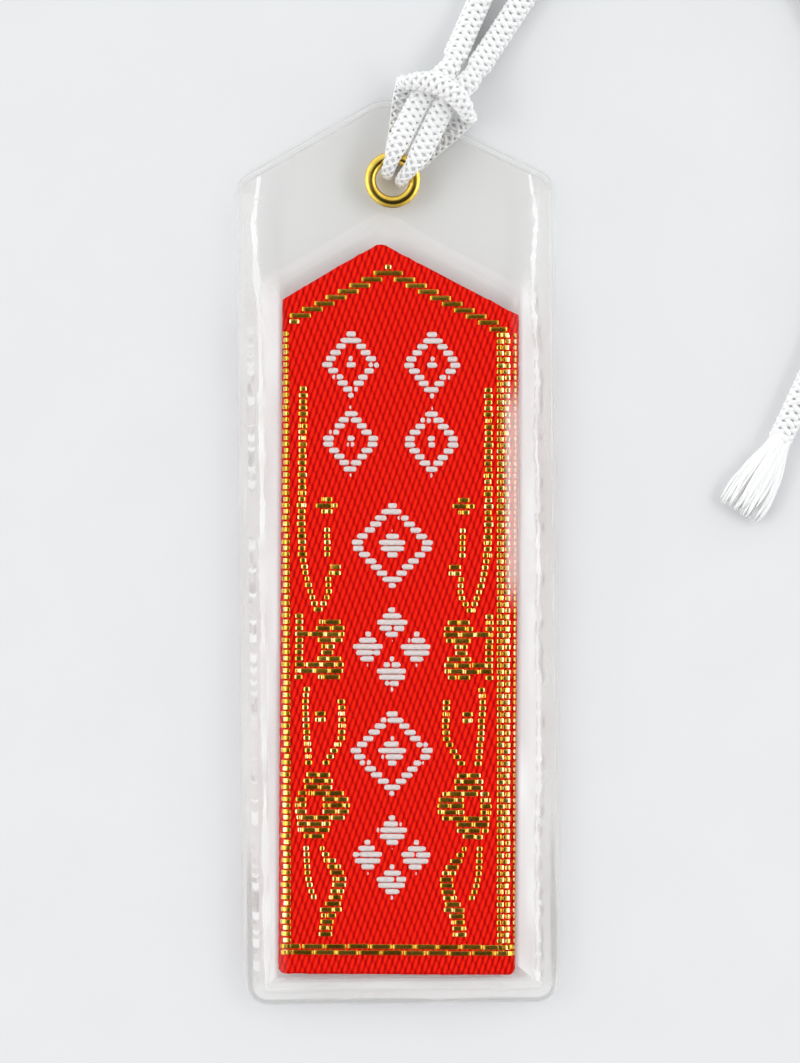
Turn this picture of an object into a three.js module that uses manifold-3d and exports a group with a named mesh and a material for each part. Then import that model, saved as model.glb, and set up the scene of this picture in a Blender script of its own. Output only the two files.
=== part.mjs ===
// A flat charm: a woven strip in a clear welded sheath, hung from an eyelet on a doubled white cord.
// Sizes are in millimetres. The charm lies on its back, with +X to its right, +Y to its top and +Z up.
// The origin is under the middle of the sheath, on the surface that the charm lies on.

import * as THREE from 'three';
import { mergeVertices } from 'three/addons/utils/BufferGeometryUtils.js';
import Module from 'manifold-3d';

const wasm = await Module();
wasm.setup();

// Woven strip and what it is folded round
const STRIP_WIDTH = 21.2;
const STRIP_HEIGHT = 65.7;
const STRIP_LEFT_SLOPE = THREE.MathUtils.degToRad(30.6);
const STRIP_RIGHT_SLOPE = THREE.MathUtils.degToRad(27.25);
const STRIP_PEAK_SHIFT = -1.9;
const STRIP_TILT = THREE.MathUtils.degToRad(-0.87);
const BROCADE = 0.35;
const CARD = 0.55;
const CARD_MARGIN = 0.4;
const SLIP = 0.3;
const SLIP_SIDE_MARGIN = 3.6;
const SLIP_END_MARGIN = 9.7;
const LAP_SLIT = 0.4;

// Clear sheath, welded along its sides and foot and open along its two top slopes
const FILM = 0.3;
const SEAM_HEIGHT = 1.6;
const RIM = 2.2;
const FOOT_RIM = 1.85;
const BEAD_WIDTH = 0.8;
const BEAD_HEIGHT = 0.16;
const BEAD_LAND = 0.12;
const EDGE_ROUND = 0.1;
const SIDE_ROOM = 1.6;
const FOOT_ROOM = 0.9;
const TOP_LEFT_SLOPE = THREE.MathUtils.degToRad(29.2);
const TOP_RIGHT_SLOPE = THREE.MathUtils.degToRad(26.2);
const APEX_RADIUS = 3;
const SHOULDER_RADIUS = 2.2;
const FOOT_RADIUS = 2.4;
const POCKET_RADIUS = 0.6;
const POCKET_RAMP = 1.2;

// Clearances of the loose insert in its pocket
const INSERT_PLAY = 0.1;
const INSERT_TRAVEL = 1.5;

// Brass eyelet, set through both films
const EYELET_ABOVE_STRIP = 5.7;
const EYELET_BELOW_APEX = 7.7;
const EYELET_SHIFT = -0.2;
const BORE_RADIUS = 1.5;
const BARREL_WALL = 0.25;
const FLANGE_RADIUS = 2.5;
const FLANGE_HEIGHT = 0.45;
const WASHER = 0.25;
const CURL_HEIGHT = 0.2;
const CURL_WIDTH = 0.5;
const HOLE_PLAY = 0.3;
const WASHER_PLAY = 0.1;

// White braided cord, with the points of its route chosen by hand
const CORD = 1.9;
const CORD_LEAN = THREE.MathUtils.degToRad(28.5);
const FRAY_WIDTH = 4.2;
const FRAY_THICKNESS = 1.5;
const FRAY_SPREAD = [0, 0.6, 1, 0.85];

// How finely round stretches are divided, and how near two points are the same one
const ARC_STEPS = 6;
const LIP_STEPS = 4;
const ROUND_STEPS = 32;
const CORD_SIDES = 8;
const HITCH_STEPS = 80;
const TAIL_STEPS = 26;
const FRAY_STEPS = 8;
const SAME_POINT = 1e-4;

// Heights of the stack, from the surface up
const insertHeight = 2 * BROCADE + CARD + SLIP;
const insertLow = FILM + INSERT_PLAY;
const foldRadius = insertHeight / 2;
const cardLow = insertLow + BROCADE;
const slipLow = cardLow + CARD;
const pocketHigh = insertLow + insertHeight + INSERT_PLAY;
const rimHigh = SEAM_HEIGHT + FILM;
const rimLow = SEAM_HEIGHT - FILM;

// Places on the sheath, worked out from the strip that it is made for
const halfWidth = STRIP_WIDTH / 2 + SIDE_ROOM + RIM;
const sheathHeight = FOOT_RIM + FOOT_ROOM + STRIP_HEIGHT + EYELET_ABOVE_STRIP + EYELET_BELOW_APEX;
const footY = -sheathHeight / 2;
const apexY = sheathHeight / 2;
const eyeletY = apexY - EYELET_BELOW_APEX;
const stripCentreY = footY + FOOT_RIM + FOOT_ROOM + STRIP_HEIGHT / 2;
const barrelRadius = BORE_RADIUS + BARREL_WALL;

const FINISHES = {
  vinyl: { color: 0xe9e6e2, roughness: 0.12, metalness: 0, transparent: true, opacity: 0.35 },
  brass: { color: 0xd2a93c, roughness: 0.18, metalness: 1 },
  brocade: { color: 0xe2281a, roughness: 0.6, metalness: 0 },
  card: { color: 0xded8cb, roughness: 0.9, metalness: 0 },
  paper: { color: 0xf4efe4, roughness: 0.85, metalness: 0 },
  cord: { color: 0xf4f4f2, roughness: 0.55, metalness: 0 },
};

function part(name, geometry, finish) {
  const mesh = new THREE.Mesh(geometry, new THREE.MeshStandardMaterial(FINISHES[finish]));
  mesh.name = name;
  return mesh;
}

// Solids cut by one another

function toManifold(geometry) {
  const bare = geometry.clone();
  bare.deleteAttribute('normal');
  bare.deleteAttribute('uv');
  const merged = mergeVertices(bare, SAME_POINT);
  return new wasm.Manifold(new wasm.Mesh({
    numProp: 3,
    vertProperties: new Float32Array(merged.attributes.position.array),
    triVerts: new Uint32Array(merged.index.array),
  }));
}

function toGeometry(solid) {
  const mesh = solid.getMesh();
  const geometry = new THREE.BufferGeometry();
  geometry.setAttribute('position', new THREE.BufferAttribute(mesh.vertProperties, 3));
  geometry.setIndex(new THREE.BufferAttribute(mesh.triVerts, 1));
  geometry.computeVertexNormals();
  return geometry;
}

function fromTriangles(points, triangles) {
  const geometry = new THREE.BufferGeometry();
  geometry.setAttribute('position', new THREE.Float32BufferAttribute(points, 3));
  geometry.setIndex(triangles);
  geometry.computeVertexNormals();
  return geometry;
}

// A five-cornered outline: straight sides and foot, and two slopes that meet in a peak

function roundedCorner(before, corner, after, radius) {
  const back = before.clone().sub(corner).normalize();
  const ahead = after.clone().sub(corner).normalize();
  const half = Math.acos(THREE.MathUtils.clamp(back.dot(ahead), -1, 1)) / 2;
  const centre = back.clone().add(ahead).normalize().multiplyScalar(radius / Math.sin(half)).add(corner);
  const start = corner.clone().addScaledVector(back, radius / Math.tan(half)).sub(centre);
  const turn = Math.PI - 2 * half;
  const points = [];
  for (let i = 0; i <= ARC_STEPS; i += 1) {
    points.push(start.clone().rotateAround(new THREE.Vector2(), (turn * i) / ARC_STEPS).add(centre));
  }
  return points;
}

function peakedOutline({ left, right, foot, peak, leftSlope, rightSlope, ...radii }) {
  const { footRadius, shoulderRadius, peakRadius } = radii;
  const rightShoulder = peak.y - (right - peak.x) * Math.tan(rightSlope);
  const leftShoulder = peak.y - (peak.x - left) * Math.tan(leftSlope);
  const corners = [
    [new THREE.Vector2(left, foot), footRadius],
    [new THREE.Vector2(right, foot), footRadius],
    [new THREE.Vector2(right, rightShoulder), shoulderRadius],
    [peak.clone(), peakRadius],
    [new THREE.Vector2(left, leftShoulder), shoulderRadius],
  ];
  return corners.flatMap(([corner, radius], i) => {
    const before = corners[(i + corners.length - 1) % corners.length][0];
    const after = corners[(i + 1) % corners.length][0];
    return roundedCorner(before, corner, after, radius);
  });
}

// How much of the weld each outline point has: all along the sides and foot, none on the slopes
function weldShares() {
  const arc = Array.from({ length: ARC_STEPS + 1 }, (_, i) => i / ARC_STEPS);
  const whole = arc.map(() => 1);
  const none = arc.map(() => 0);
  return [...whole, ...whole, ...arc.map((t) => 1 - t), ...none, ...arc];
}

// The sheath's edge, moved in by a distance, with its peak where the rounded apex has its height
function edgeOutline(inset) {
  const secLeft = 1 / Math.cos(TOP_LEFT_SLOPE);
  const secRight = 1 / Math.cos(TOP_RIGHT_SLOPE);
  const tanLeft = Math.tan(TOP_LEFT_SLOPE);
  const tanRight = Math.tan(TOP_RIGHT_SLOPE);
  const arcShift = (APEX_RADIUS * (secLeft - secRight)) / (tanLeft + tanRight);
  const peakY = apexY - APEX_RADIUS + APEX_RADIUS * secLeft - arcShift * tanLeft;
  const shoulderDrop = (2 * halfWidth) / (1 / tanLeft + 1 / tanRight);
  const peakX = -halfWidth + shoulderDrop / tanLeft;
  const insetShift = (inset * (secLeft - secRight)) / (tanLeft + tanRight);
  return peakedOutline({
    left: -halfWidth + inset,
    right: halfWidth - inset,
    foot: footY + (inset * FOOT_RIM) / RIM,
    peak: new THREE.Vector2(peakX + insetShift, peakY - inset * secLeft + insetShift * tanLeft),
    leftSlope: TOP_LEFT_SLOPE,
    rightSlope: TOP_RIGHT_SLOPE,
    footRadius: Math.max(FOOT_RADIUS - inset, EDGE_ROUND),
    shoulderRadius: Math.max(SHOULDER_RADIUS - inset, EDGE_ROUND),
    peakRadius: Math.max(APEX_RADIUS - inset, EDGE_ROUND),
  });
}

// The pocket that the strip lies in, at its crown when grown by 0 and at the rim when grown by 1
function pocketOutline(growth) {
  const tiltSwing = (STRIP_HEIGHT / 2) * Math.sin(Math.abs(STRIP_TILT));
  const tiltSink = (STRIP_WIDTH / 2) * Math.sin(Math.abs(STRIP_TILT));
  const crownHalf = STRIP_WIDTH / 2 + tiltSwing - foldRadius / 2;
  const rimHalf = halfWidth - RIM - BEAD_LAND;
  const crownFoot = footY + FOOT_RIM + FOOT_ROOM - tiltSink - INSERT_PLAY;
  const rimFoot = footY + FOOT_RIM + BEAD_LAND;
  const peak = new THREE.Vector2(STRIP_PEAK_SHIFT, STRIP_HEIGHT / 2);
  peak.rotateAround(new THREE.Vector2(), STRIP_TILT);
  peak.y += stripCentreY + INSERT_TRAVEL + INSERT_PLAY + growth * POCKET_RAMP;
  const half = THREE.MathUtils.lerp(crownHalf, rimHalf, growth);
  return peakedOutline({
    left: -half,
    right: half,
    foot: THREE.MathUtils.lerp(crownFoot, rimFoot, growth),
    peak,
    leftSlope: STRIP_LEFT_SLOPE + STRIP_TILT,
    rightSlope: STRIP_RIGHT_SLOPE - STRIP_TILT,
    footRadius: POCKET_RADIUS * (1 - growth / 2),
    shoulderRadius: POCKET_RADIUS,
    peakRadius: POCKET_RADIUS,
  });
}

// A film is a stack of closed rings of equal count, joined by strips and closed by a flat cap at each end
function ringSolid(rings) {
  const count = rings[0].length;
  const points = rings.flatMap((ring) => ring.flatMap(({ x, y, z }) => [x, y, z]));
  const triangles = [];
  for (let ring = 0; ring + 1 < rings.length; ring += 1) {
    for (let i = 0; i < count; i += 1) {
      const next = (i + 1) % count;
      const a = ring * count + i;
      const b = ring * count + next;
      const c = (ring + 1) * count + next;
      const d = (ring + 1) * count + i;
      triangles.push(a, b, c, a, c, d);
    }
  }
  const last = (rings.length - 1) * count;
  for (let i = 1; i + 1 < count; i += 1) {
    triangles.push(last, last + i, last + i + 1);
    triangles.push(0, i + 1, i);
  }
  return fromTriangles(points, triangles);
}

function ringAt(outline, height) {
  return outline.map(({ x, y }, i) => ({ x, y, z: typeof height === 'number' ? height : height[i] }));
}

// Front film: flat on the seam, with its bead and the raised crown over the strip
function frontFilm() {
  const bead = weldShares().map((share) => rimHigh + share * BEAD_HEIGHT);
  const under = [
    ringAt(pocketOutline(0), pocketHigh),
    ringAt(pocketOutline(1), SEAM_HEIGHT),
    ringAt(edgeOutline(0), SEAM_HEIGHT),
  ];
  const over = [
    ringAt(edgeOutline(0), rimHigh - EDGE_ROUND),
    ringAt(edgeOutline(EDGE_ROUND), rimHigh),
    ringAt(edgeOutline(RIM - BEAD_WIDTH), rimHigh),
    ringAt(edgeOutline(RIM - BEAD_WIDTH / 2), bead),
    ringAt(edgeOutline(RIM), rimHigh),
    ringAt(pocketOutline(1), rimHigh),
    ringAt(pocketOutline(0), pocketHigh + FILM),
  ];
  return ringSolid([...under, ...over]);
}

// Back film: the same seam from below, with a deeper pocket that lies on the surface
function backFilm() {
  const bead = weldShares().map((share) => rimLow - share * BEAD_HEIGHT);
  const under = [
    ringAt(pocketOutline(0), 0),
    ringAt(pocketOutline(1), rimLow),
    ringAt(edgeOutline(RIM), rimLow),
    ringAt(edgeOutline(RIM - BEAD_WIDTH / 2), bead),
    ringAt(edgeOutline(RIM - BEAD_WIDTH), rimLow),
    ringAt(edgeOutline(EDGE_ROUND), rimLow),
    ringAt(edgeOutline(0), rimLow + EDGE_ROUND),
  ];
  const over = [
    ringAt(edgeOutline(0), SEAM_HEIGHT),
    ringAt(pocketOutline(1), SEAM_HEIGHT),
    ringAt(pocketOutline(0), FILM),
  ];
  return ringSolid([...under, ...over]);
}

// The eyelet's hole, punched through both films and past them
function punched(film) {
  const holeRadius = barrelRadius + HOLE_PLAY;
  const punch = new THREE.CylinderGeometry(holeRadius, holeRadius, 2 * (rimHigh + FILM), ROUND_STEPS);
  punch.rotateX(Math.PI / 2);
  punch.translate(EYELET_SHIFT, eyeletY, SEAM_HEIGHT);
  return toGeometry(toManifold(film).subtract(toManifold(punch)));
}

// Eyelet: a domed flange in front, a barrel through both films and a curl that grips the washer behind

function eyeletBarrel() {
  const washerLow = rimLow - WASHER;
  const curlLow = washerLow - CURL_HEIGHT;
  const flangeHigh = rimHigh + FLANGE_HEIGHT;
  const lip = FLANGE_HEIGHT / 2;
  const profile = new THREE.Path();
  profile.moveTo(barrelRadius, rimHigh);
  profile.lineTo(FLANGE_RADIUS - lip / 2, rimHigh);
  profile.lineTo(FLANGE_RADIUS, rimHigh + lip / 2);
  profile.quadraticCurveTo(FLANGE_RADIUS, flangeHigh, BORE_RADIUS + FLANGE_HEIGHT, flangeHigh);
  profile.quadraticCurveTo(BORE_RADIUS, flangeHigh, BORE_RADIUS, rimHigh);
  profile.lineTo(BORE_RADIUS, washerLow);
  profile.quadraticCurveTo(BORE_RADIUS, curlLow, barrelRadius + CURL_WIDTH / 2, curlLow);
  profile.quadraticCurveTo(barrelRadius + CURL_WIDTH, washerLow, barrelRadius + CURL_WIDTH / 2, washerLow);
  profile.lineTo(barrelRadius, washerLow);
  profile.lineTo(barrelRadius, rimHigh);
  return lathed(profile.getPoints(LIP_STEPS));
}

function eyeletWasher() {
  const inner = barrelRadius + WASHER_PLAY;
  const profile = new THREE.Path();
  profile.moveTo(inner, rimLow - WASHER);
  profile.lineTo(FLANGE_RADIUS - WASHER / 2, rimLow - WASHER);
  profile.quadraticCurveTo(FLANGE_RADIUS, rimLow - WASHER, FLANGE_RADIUS, rimLow);
  profile.lineTo(inner, rimLow);
  profile.lineTo(inner, rimLow - WASHER);
  return lathed(profile.getPoints(LIP_STEPS));
}

// A lathe turns about its own Y, so its profile is stood up along Z and carried to the eyelet
function lathed(points) {
  const geometry = new THREE.LatheGeometry(points, ROUND_STEPS);
  geometry.rotateX(Math.PI / 2);
  geometry.translate(EYELET_SHIFT, eyeletY, 0);
  return geometry;
}

// Insert: all pieces are drawn about the strip's own middle and share its tilt

function stripShape(half, margin) {
  const peak = new THREE.Vector2(STRIP_PEAK_SHIFT, STRIP_HEIGHT / 2 - margin);
  const shape = new THREE.Shape();
  shape.moveTo(-half, margin - STRIP_HEIGHT / 2);
  shape.lineTo(half, margin - STRIP_HEIGHT / 2);
  shape.lineTo(half, peak.y - (half - peak.x) * Math.tan(STRIP_RIGHT_SLOPE));
  shape.lineTo(peak.x, peak.y);
  shape.lineTo(-half, peak.y - (peak.x + half) * Math.tan(STRIP_LEFT_SLOPE));
  return shape;
}

function slab(shape, low, thickness) {
  const geometry = new THREE.ExtrudeGeometry(shape, { depth: thickness, bevelEnabled: false });
  geometry.translate(0, 0, low);
  return geometry;
}

// The band's section: a flat loop folded round both sides, whose ends nearly meet behind
function sleeveSection() {
  const half = STRIP_WIDTH / 2 - foldRadius;
  const inner = foldRadius - BROCADE;
  const shape = new THREE.Shape();
  shape.moveTo(LAP_SLIT / 2, -foldRadius);
  shape.absarc(half, 0, foldRadius, -Math.PI / 2, Math.PI / 2, false);
  shape.absarc(-half, 0, foldRadius, Math.PI / 2, (3 * Math.PI) / 2, false);
  shape.lineTo(-LAP_SLIT / 2, -foldRadius);
  shape.lineTo(-LAP_SLIT / 2, -inner);
  shape.absarc(-half, 0, inner, (3 * Math.PI) / 2, Math.PI / 2, true);
  shape.absarc(half, 0, inner, Math.PI / 2, -Math.PI / 2, true);
  shape.lineTo(LAP_SLIT / 2, -inner);
  return shape;
}

// The folded band is long and square-ended until both layers are cut together to the peaked outline
function brocadeSleeve() {
  const overLength = STRIP_HEIGHT + 2 * foldRadius;
  const band = new THREE.ExtrudeGeometry(sleeveSection(), {
    depth: overLength, bevelEnabled: false, curveSegments: ARC_STEPS,
  });
  band.rotateX(Math.PI / 2);
  band.translate(0, overLength / 2, insertLow + foldRadius);
  const cutter = slab(stripShape(STRIP_WIDTH, 0), 0, 2 * pocketHigh);
  return toGeometry(toManifold(band).intersect(toManifold(cutter)));
}

function backingCard() {
  return slab(stripShape(STRIP_WIDTH / 2 - foldRadius - INSERT_PLAY, CARD_MARGIN), cardLow, CARD);
}

function prayerSlip() {
  const width = STRIP_WIDTH - 2 * SLIP_SIDE_MARGIN;
  const height = STRIP_HEIGHT - 2 * SLIP_END_MARGIN;
  const geometry = new THREE.BoxGeometry(width, height, SLIP);
  geometry.translate(0, 0, slipLow + SLIP / 2);
  return geometry;
}

// Cord: a closed tube whose section can be squeezed at each point of its route

function softTube(route, steps, firstSide) {
  const curve = new THREE.CatmullRomCurve3(route.map(([x, y, z]) => new THREE.Vector3(x, y, z)));
  const points = [];
  const triangles = [];
  let side = firstSide.clone();
  for (let step = 0; step <= steps; step += 1) {
    const t = step / steps;
    const place = t * (route.length - 1);
    const index = Math.min(Math.floor(place), route.length - 2);
    const [across, through] = [3, 4].map(
      (k) => THREE.MathUtils.lerp(route[index][k], route[index + 1][k], place - index));
    const middle = curve.getPoint(t);
    const along = curve.getTangent(t);
    side = side.addScaledVector(along, -side.dot(along)).normalize();
    const up = new THREE.Vector3().crossVectors(along, side);
    for (let i = 0; i < CORD_SIDES; i += 1) {
      const angle = ((i + 0.5) * 2 * Math.PI) / CORD_SIDES;
      const point = middle.clone();
      point.addScaledVector(side, (across / 2) * Math.cos(angle));
      point.addScaledVector(up, (through / 2) * Math.sin(angle));
      points.push(point.x, point.y, point.z);
    }
  }
  const ring = (step, i) => step * CORD_SIDES + (i % CORD_SIDES);
  for (let step = 0; step < steps; step += 1) {
    for (let i = 0; i < CORD_SIDES; i += 1) {
      triangles.push(ring(step, i), ring(step, i + 1), ring(step + 1, i + 1));
      triangles.push(ring(step, i), ring(step + 1, i + 1), ring(step + 1, i));
    }
  }
  for (let i = 1; i + 1 < CORD_SIDES; i += 1) {
    triangles.push(ring(0, 0), ring(0, i + 1), ring(0, i));
    triangles.push(ring(steps, 0), ring(steps, i), ring(steps, i + 1));
  }
  return fromTriangles(points, triangles);
}

// The hitch, in its own frame: X across the doubled cord, Y away from the eyelet, Z up.
// Each point is x, y, z, then the section's two sizes, across the cord's turn and along it.
const HITCH = [
  [-0.22, 12.05, 1.95, 1.9, 1.7], [-0.20, 10.95, 2.45, 1.9, 1.6], [-0.55, 9.90, 2.78, 1.9, 1.5],
  [-1.02, 8.70, 2.80, 1.9, 1.5], [-1.16, 6.80, 2.80, 1.9, 1.5], [-1.12, 4.60, 2.85, 1.9, 1.4],
  [-1.02, 2.90, 3.12, 1.8, 1.2], [-0.88, 1.60, 3.12, 1.5, 1.0], [-0.75, 0.65, 2.66, 1.3, 0.9],
  [-0.69, 0.20, 1.60, 1.2, 1.0], [-0.72, 0.32, 0.85, 1.0, 0.8], [-0.86, 1.20, 0.40, 1.3, 0.6],
  [-1.25, 2.70, 0.38, 1.7, 0.6], [-1.85, 4.60, 0.55, 1.8, 0.9], [-2.55, 6.30, 0.60, 1.8, 0.9],
  [-2.98, 7.60, 0.66, 1.7, 0.9], [-3.25, 8.35, 1.55, 1.6, 1.1], [-3.00, 8.05, 3.05, 1.5, 1.3],
  [-2.20, 8.55, 4.10, 1.4, 1.5], [-0.95, 9.05, 4.55, 1.3, 1.7], [0.30, 9.20, 4.65, 1.3, 1.7],
  [1.55, 9.05, 4.50, 1.3, 1.7], [2.65, 8.60, 3.90, 1.4, 1.5], [3.25, 8.10, 2.90, 1.5, 1.3],
  [3.45, 8.40, 1.55, 1.6, 1.1], [3.06, 7.70, 0.66, 1.7, 0.9], [2.60, 6.30, 0.60, 1.8, 0.9],
  [1.88, 4.60, 0.55, 1.8, 0.9], [1.25, 2.70, 0.38, 1.7, 0.6], [0.86, 1.20, 0.40, 1.3, 0.6],
  [0.72, 0.32, 0.85, 1.0, 0.8], [0.70, 0.20, 1.60, 1.2, 1.0], [0.80, 0.65, 2.66, 1.3, 0.9],
  [1.02, 1.60, 3.12, 1.5, 1.0], [1.14, 2.90, 3.12, 1.8, 1.2], [1.10, 4.60, 2.85, 1.9, 1.4],
  [1.02, 6.80, 2.80, 1.9, 1.5], [1.10, 8.70, 2.80, 1.9, 1.5], [1.55, 9.90, 2.78, 1.9, 1.5],
  [1.92, 10.95, 2.45, 1.9, 1.6], [1.98, 12.05, 1.95, 1.9, 1.7],
];

// The free tails, from the eyelet's middle on the surface: just past the hitch to where the braid ends
const LEFT_TAIL = [
  [5.74, 11.13, 1.78], [6.32, 12.45, 1.35], [7.02, 14.05, 1.05], [7.98, 16.20, 1.00], [9.60, 19.90, 1.00],
  [12.50, 24.45, 1.00], [17.10, 27.75, 1.00], [22.80, 29.25, 1.00], [28.80, 28.65, 1.00],
  [34.50, 25.95, 1.00], [39.20, 21.65, 1.00], [42.40, 16.05, 1.00], [44.40, 9.65, 1.00],
  [45.30, 3.05, 1.00], [45.30, -3.15, 1.00], [44.60, -8.15, 1.00],
];
const RIGHT_TAIL = [
  [7.76, 10.05, 1.78], [8.62, 11.35, 1.35], [9.86, 13.20, 1.05], [11.82, 16.15, 1.00], [13.90, 18.95, 1.00],
  [16.80, 21.85, 1.00], [20.80, 24.45, 1.00], [25.60, 25.35, 1.00], [30.50, 23.95, 1.00],
  [34.80, 20.65, 1.00], [38.10, 16.05, 1.00], [40.30, 10.45, 1.00], [41.30, 4.45, 1.00],
  [41.40, -2.35, 1.00], [40.40, -9.15, 1.00], [38.60, -15.15, 1.00], [36.50, -19.95, 1.00],
  [34.70, -23.65, 1.00],
];
const LEFT_FRAY = [
  [44.56, -8.45, 1.00], [44.20, -11.15, 0.98], [43.50, -13.85, 0.90], [42.60, -16.25, 0.85],
];
const RIGHT_FRAY = [
  [34.57, -23.92, 1.00], [33.30, -26.25, 0.98], [32.10, -28.35, 0.90], [30.95, -30.25, 0.85],
];

function cordTail(route) {
  const curve = new THREE.CatmullRomCurve3(route.map(([x, y, z]) => new THREE.Vector3(x, y, z)));
  const section = new THREE.Shape();
  for (let i = 0; i < CORD_SIDES; i += 1) {
    const angle = ((i + 0.5) * 2 * Math.PI) / CORD_SIDES;
    const point = [(CORD / 2) * Math.cos(angle), (CORD / 2) * Math.sin(angle)];
    if (i === 0) section.moveTo(...point);
    else section.lineTo(...point);
  }
  return new THREE.ExtrudeGeometry(section, { steps: TAIL_STEPS, extrudePath: curve, bevelEnabled: false });
}

// The unravelled end: the braid's fibres fan out flat, and their tips draw in a little
function cordFray(route) {
  const sized = route.map((point, i) => [
    ...point,
    THREE.MathUtils.lerp(CORD, FRAY_WIDTH, FRAY_SPREAD[i]),
    THREE.MathUtils.lerp(CORD, FRAY_THICKNESS, FRAY_SPREAD[i]),
  ]);
  return softTube(sized, FRAY_STEPS, new THREE.Vector3(1, 0, 0));
}

const charm = new THREE.Group();

charm.add(part('sheath_back', punched(backFilm()), 'vinyl'));
charm.add(part('sheath_front', punched(frontFilm()), 'vinyl'));
charm.add(part('eyelet_barrel', eyeletBarrel(), 'brass'));
charm.add(part('eyelet_washer', eyeletWasher(), 'brass'));

const insert = new THREE.Group();
insert.position.y = stripCentreY;
insert.rotation.z = STRIP_TILT;
insert.add(part('brocade_sleeve', brocadeSleeve(), 'brocade'));
insert.add(part('backing_card', backingCard(), 'card'));
insert.add(part('prayer_slip', prayerSlip(), 'paper'));
charm.add(insert);

const cord = new THREE.Group();
cord.position.set(EYELET_SHIFT, eyeletY, 0);
const hitch = part('cord_hitch', softTube(HITCH, HITCH_STEPS, new THREE.Vector3(1, 0, 0)), 'cord');
hitch.rotation.z = -CORD_LEAN;
cord.add(hitch);
cord.add(part('cord_tail_left', cordTail(LEFT_TAIL), 'cord'));
cord.add(part('cord_tail_right', cordTail(RIGHT_TAIL), 'cord'));
cord.add(part('cord_fray_left', cordFray(LEFT_FRAY), 'cord'));
cord.add(part('cord_fray_right', cordFray(RIGHT_FRAY), 'cord'));
charm.add(cord);

export default charm;
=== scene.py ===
"""Looks of a flat woven charm in a clear sheath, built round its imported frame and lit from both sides."""
import logging
import math
from collections.abc import Callable
from dataclasses import dataclass, field
from enum import Enum

import bpy
import numpy as np
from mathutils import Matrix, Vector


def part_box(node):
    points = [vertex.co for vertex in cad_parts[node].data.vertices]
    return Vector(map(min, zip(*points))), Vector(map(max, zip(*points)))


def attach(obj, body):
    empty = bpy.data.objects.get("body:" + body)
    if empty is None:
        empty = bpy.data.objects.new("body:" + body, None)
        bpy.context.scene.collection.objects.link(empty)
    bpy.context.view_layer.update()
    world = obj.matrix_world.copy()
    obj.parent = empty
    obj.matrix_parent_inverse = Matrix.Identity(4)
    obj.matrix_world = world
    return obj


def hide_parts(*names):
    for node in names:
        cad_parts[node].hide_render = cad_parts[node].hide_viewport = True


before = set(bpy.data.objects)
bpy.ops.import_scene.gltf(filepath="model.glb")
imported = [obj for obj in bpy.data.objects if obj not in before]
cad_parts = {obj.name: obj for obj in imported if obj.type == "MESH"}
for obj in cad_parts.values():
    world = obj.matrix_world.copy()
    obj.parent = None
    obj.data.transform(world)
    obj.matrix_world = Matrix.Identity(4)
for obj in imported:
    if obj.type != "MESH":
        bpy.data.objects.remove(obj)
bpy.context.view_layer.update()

LOG = logging.getLogger("charm")
MM = 0.001
TURN = 2.0 * math.pi
LATTICE = 256
UP = np.array([0.0, 0.0, 1.0])
Array = np.ndarray
Pair = tuple[float, float]
Triple = tuple[float, float, float]
Colour = tuple[float, float, float]
Route = tuple[tuple[float, ...], ...]
Piece = bpy.types.Object
Material = bpy.types.Material
Socket = bpy.types.NodeSocket


class Face(Enum):
    """Which of the two films, with the way it bulges from the seam."""

    FRONT = 1
    BACK = -1

    @property
    def node(self) -> str:
        """Returns the name of the film's node."""
        return f"sheath_{self.name.lower()}"


class Motif(Enum):
    """The plain woven figures in the white column, each with two shares of its half size.

    For one lozenge they are its outline's inner edge and its heart, for four their distance and half size.
    """

    NESTED_LOZENGE = (0.72, 0.36)
    FOUR_LOZENGES = (0.56, 0.40)
    SMALL_LOZENGE = (0.62, 0.22)


# Shared arithmetic


def eased(value: Array) -> Array:
    """Returns a smooth step from 0 at 0 to 1 at 1."""
    held = np.clip(value, 0.0, 1.0)
    return held * held * (3.0 - 2.0 * held)


def bell(value: Array) -> Array:
    """Returns a bell curve: 1 at 0, and next to nothing from 2 on."""
    return np.exp(-(value**2))


def between(value: Array, first: Array | float, last: Array | float, rise: float, fall: float) -> Array:
    """Returns a plateau of 1 between two bounds, with a smooth step inside each of them."""
    return eased((value - first) / rise) * eased((last - value) / fall)


def open_steps(stop: float, count: int) -> Array:
    """Returns evenly spaced values from 0 up to a stop, without the stop."""
    return np.linspace(0.0, stop, count, endpoint=False)


def distances(points: Array) -> Array:
    """Returns how far along a line each of its points lies."""
    return np.concatenate([[0.0], np.cumsum(np.linalg.norm(np.diff(points, axis=0), axis=1))])


def soft_noise(x: Array, seed: int, y: Array | float = 0.0) -> Array:
    """Smooth noise: random values on a unit lattice, eased between its four corners.

    Args:
        x: first coordinate, in lattice steps.
        seed: which lattice of random values to use.
        y: second coordinate, in lattice steps.

    Returns:
        Values from -1 to 1, in the coordinates' common shape.
    """
    lattice = np.random.default_rng(seed).uniform(-1.0, 1.0, (LATTICE, LATTICE))
    x, y = np.broadcast_arrays(np.asarray(x, float), np.asarray(y, float))
    column, row = np.floor(x).astype(int), np.floor(y).astype(int)
    across, up = eased(x - column), eased(y - row)
    near, far = column % LATTICE, (column + 1) % LATTICE
    low, high = row % LATTICE, (row + 1) % LATTICE
    bottom = lattice[low, near] * (1.0 - across) + lattice[low, far] * across
    top = lattice[high, near] * (1.0 - across) + lattice[high, far] * across
    return bottom * (1.0 - up) + top * up


def unit(vectors: Array) -> Array:
    """Returns the vectors of the last axis at length 1."""
    return vectors / np.maximum(np.linalg.norm(vectors, axis=-1, keepdims=True), 1e-12)


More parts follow.
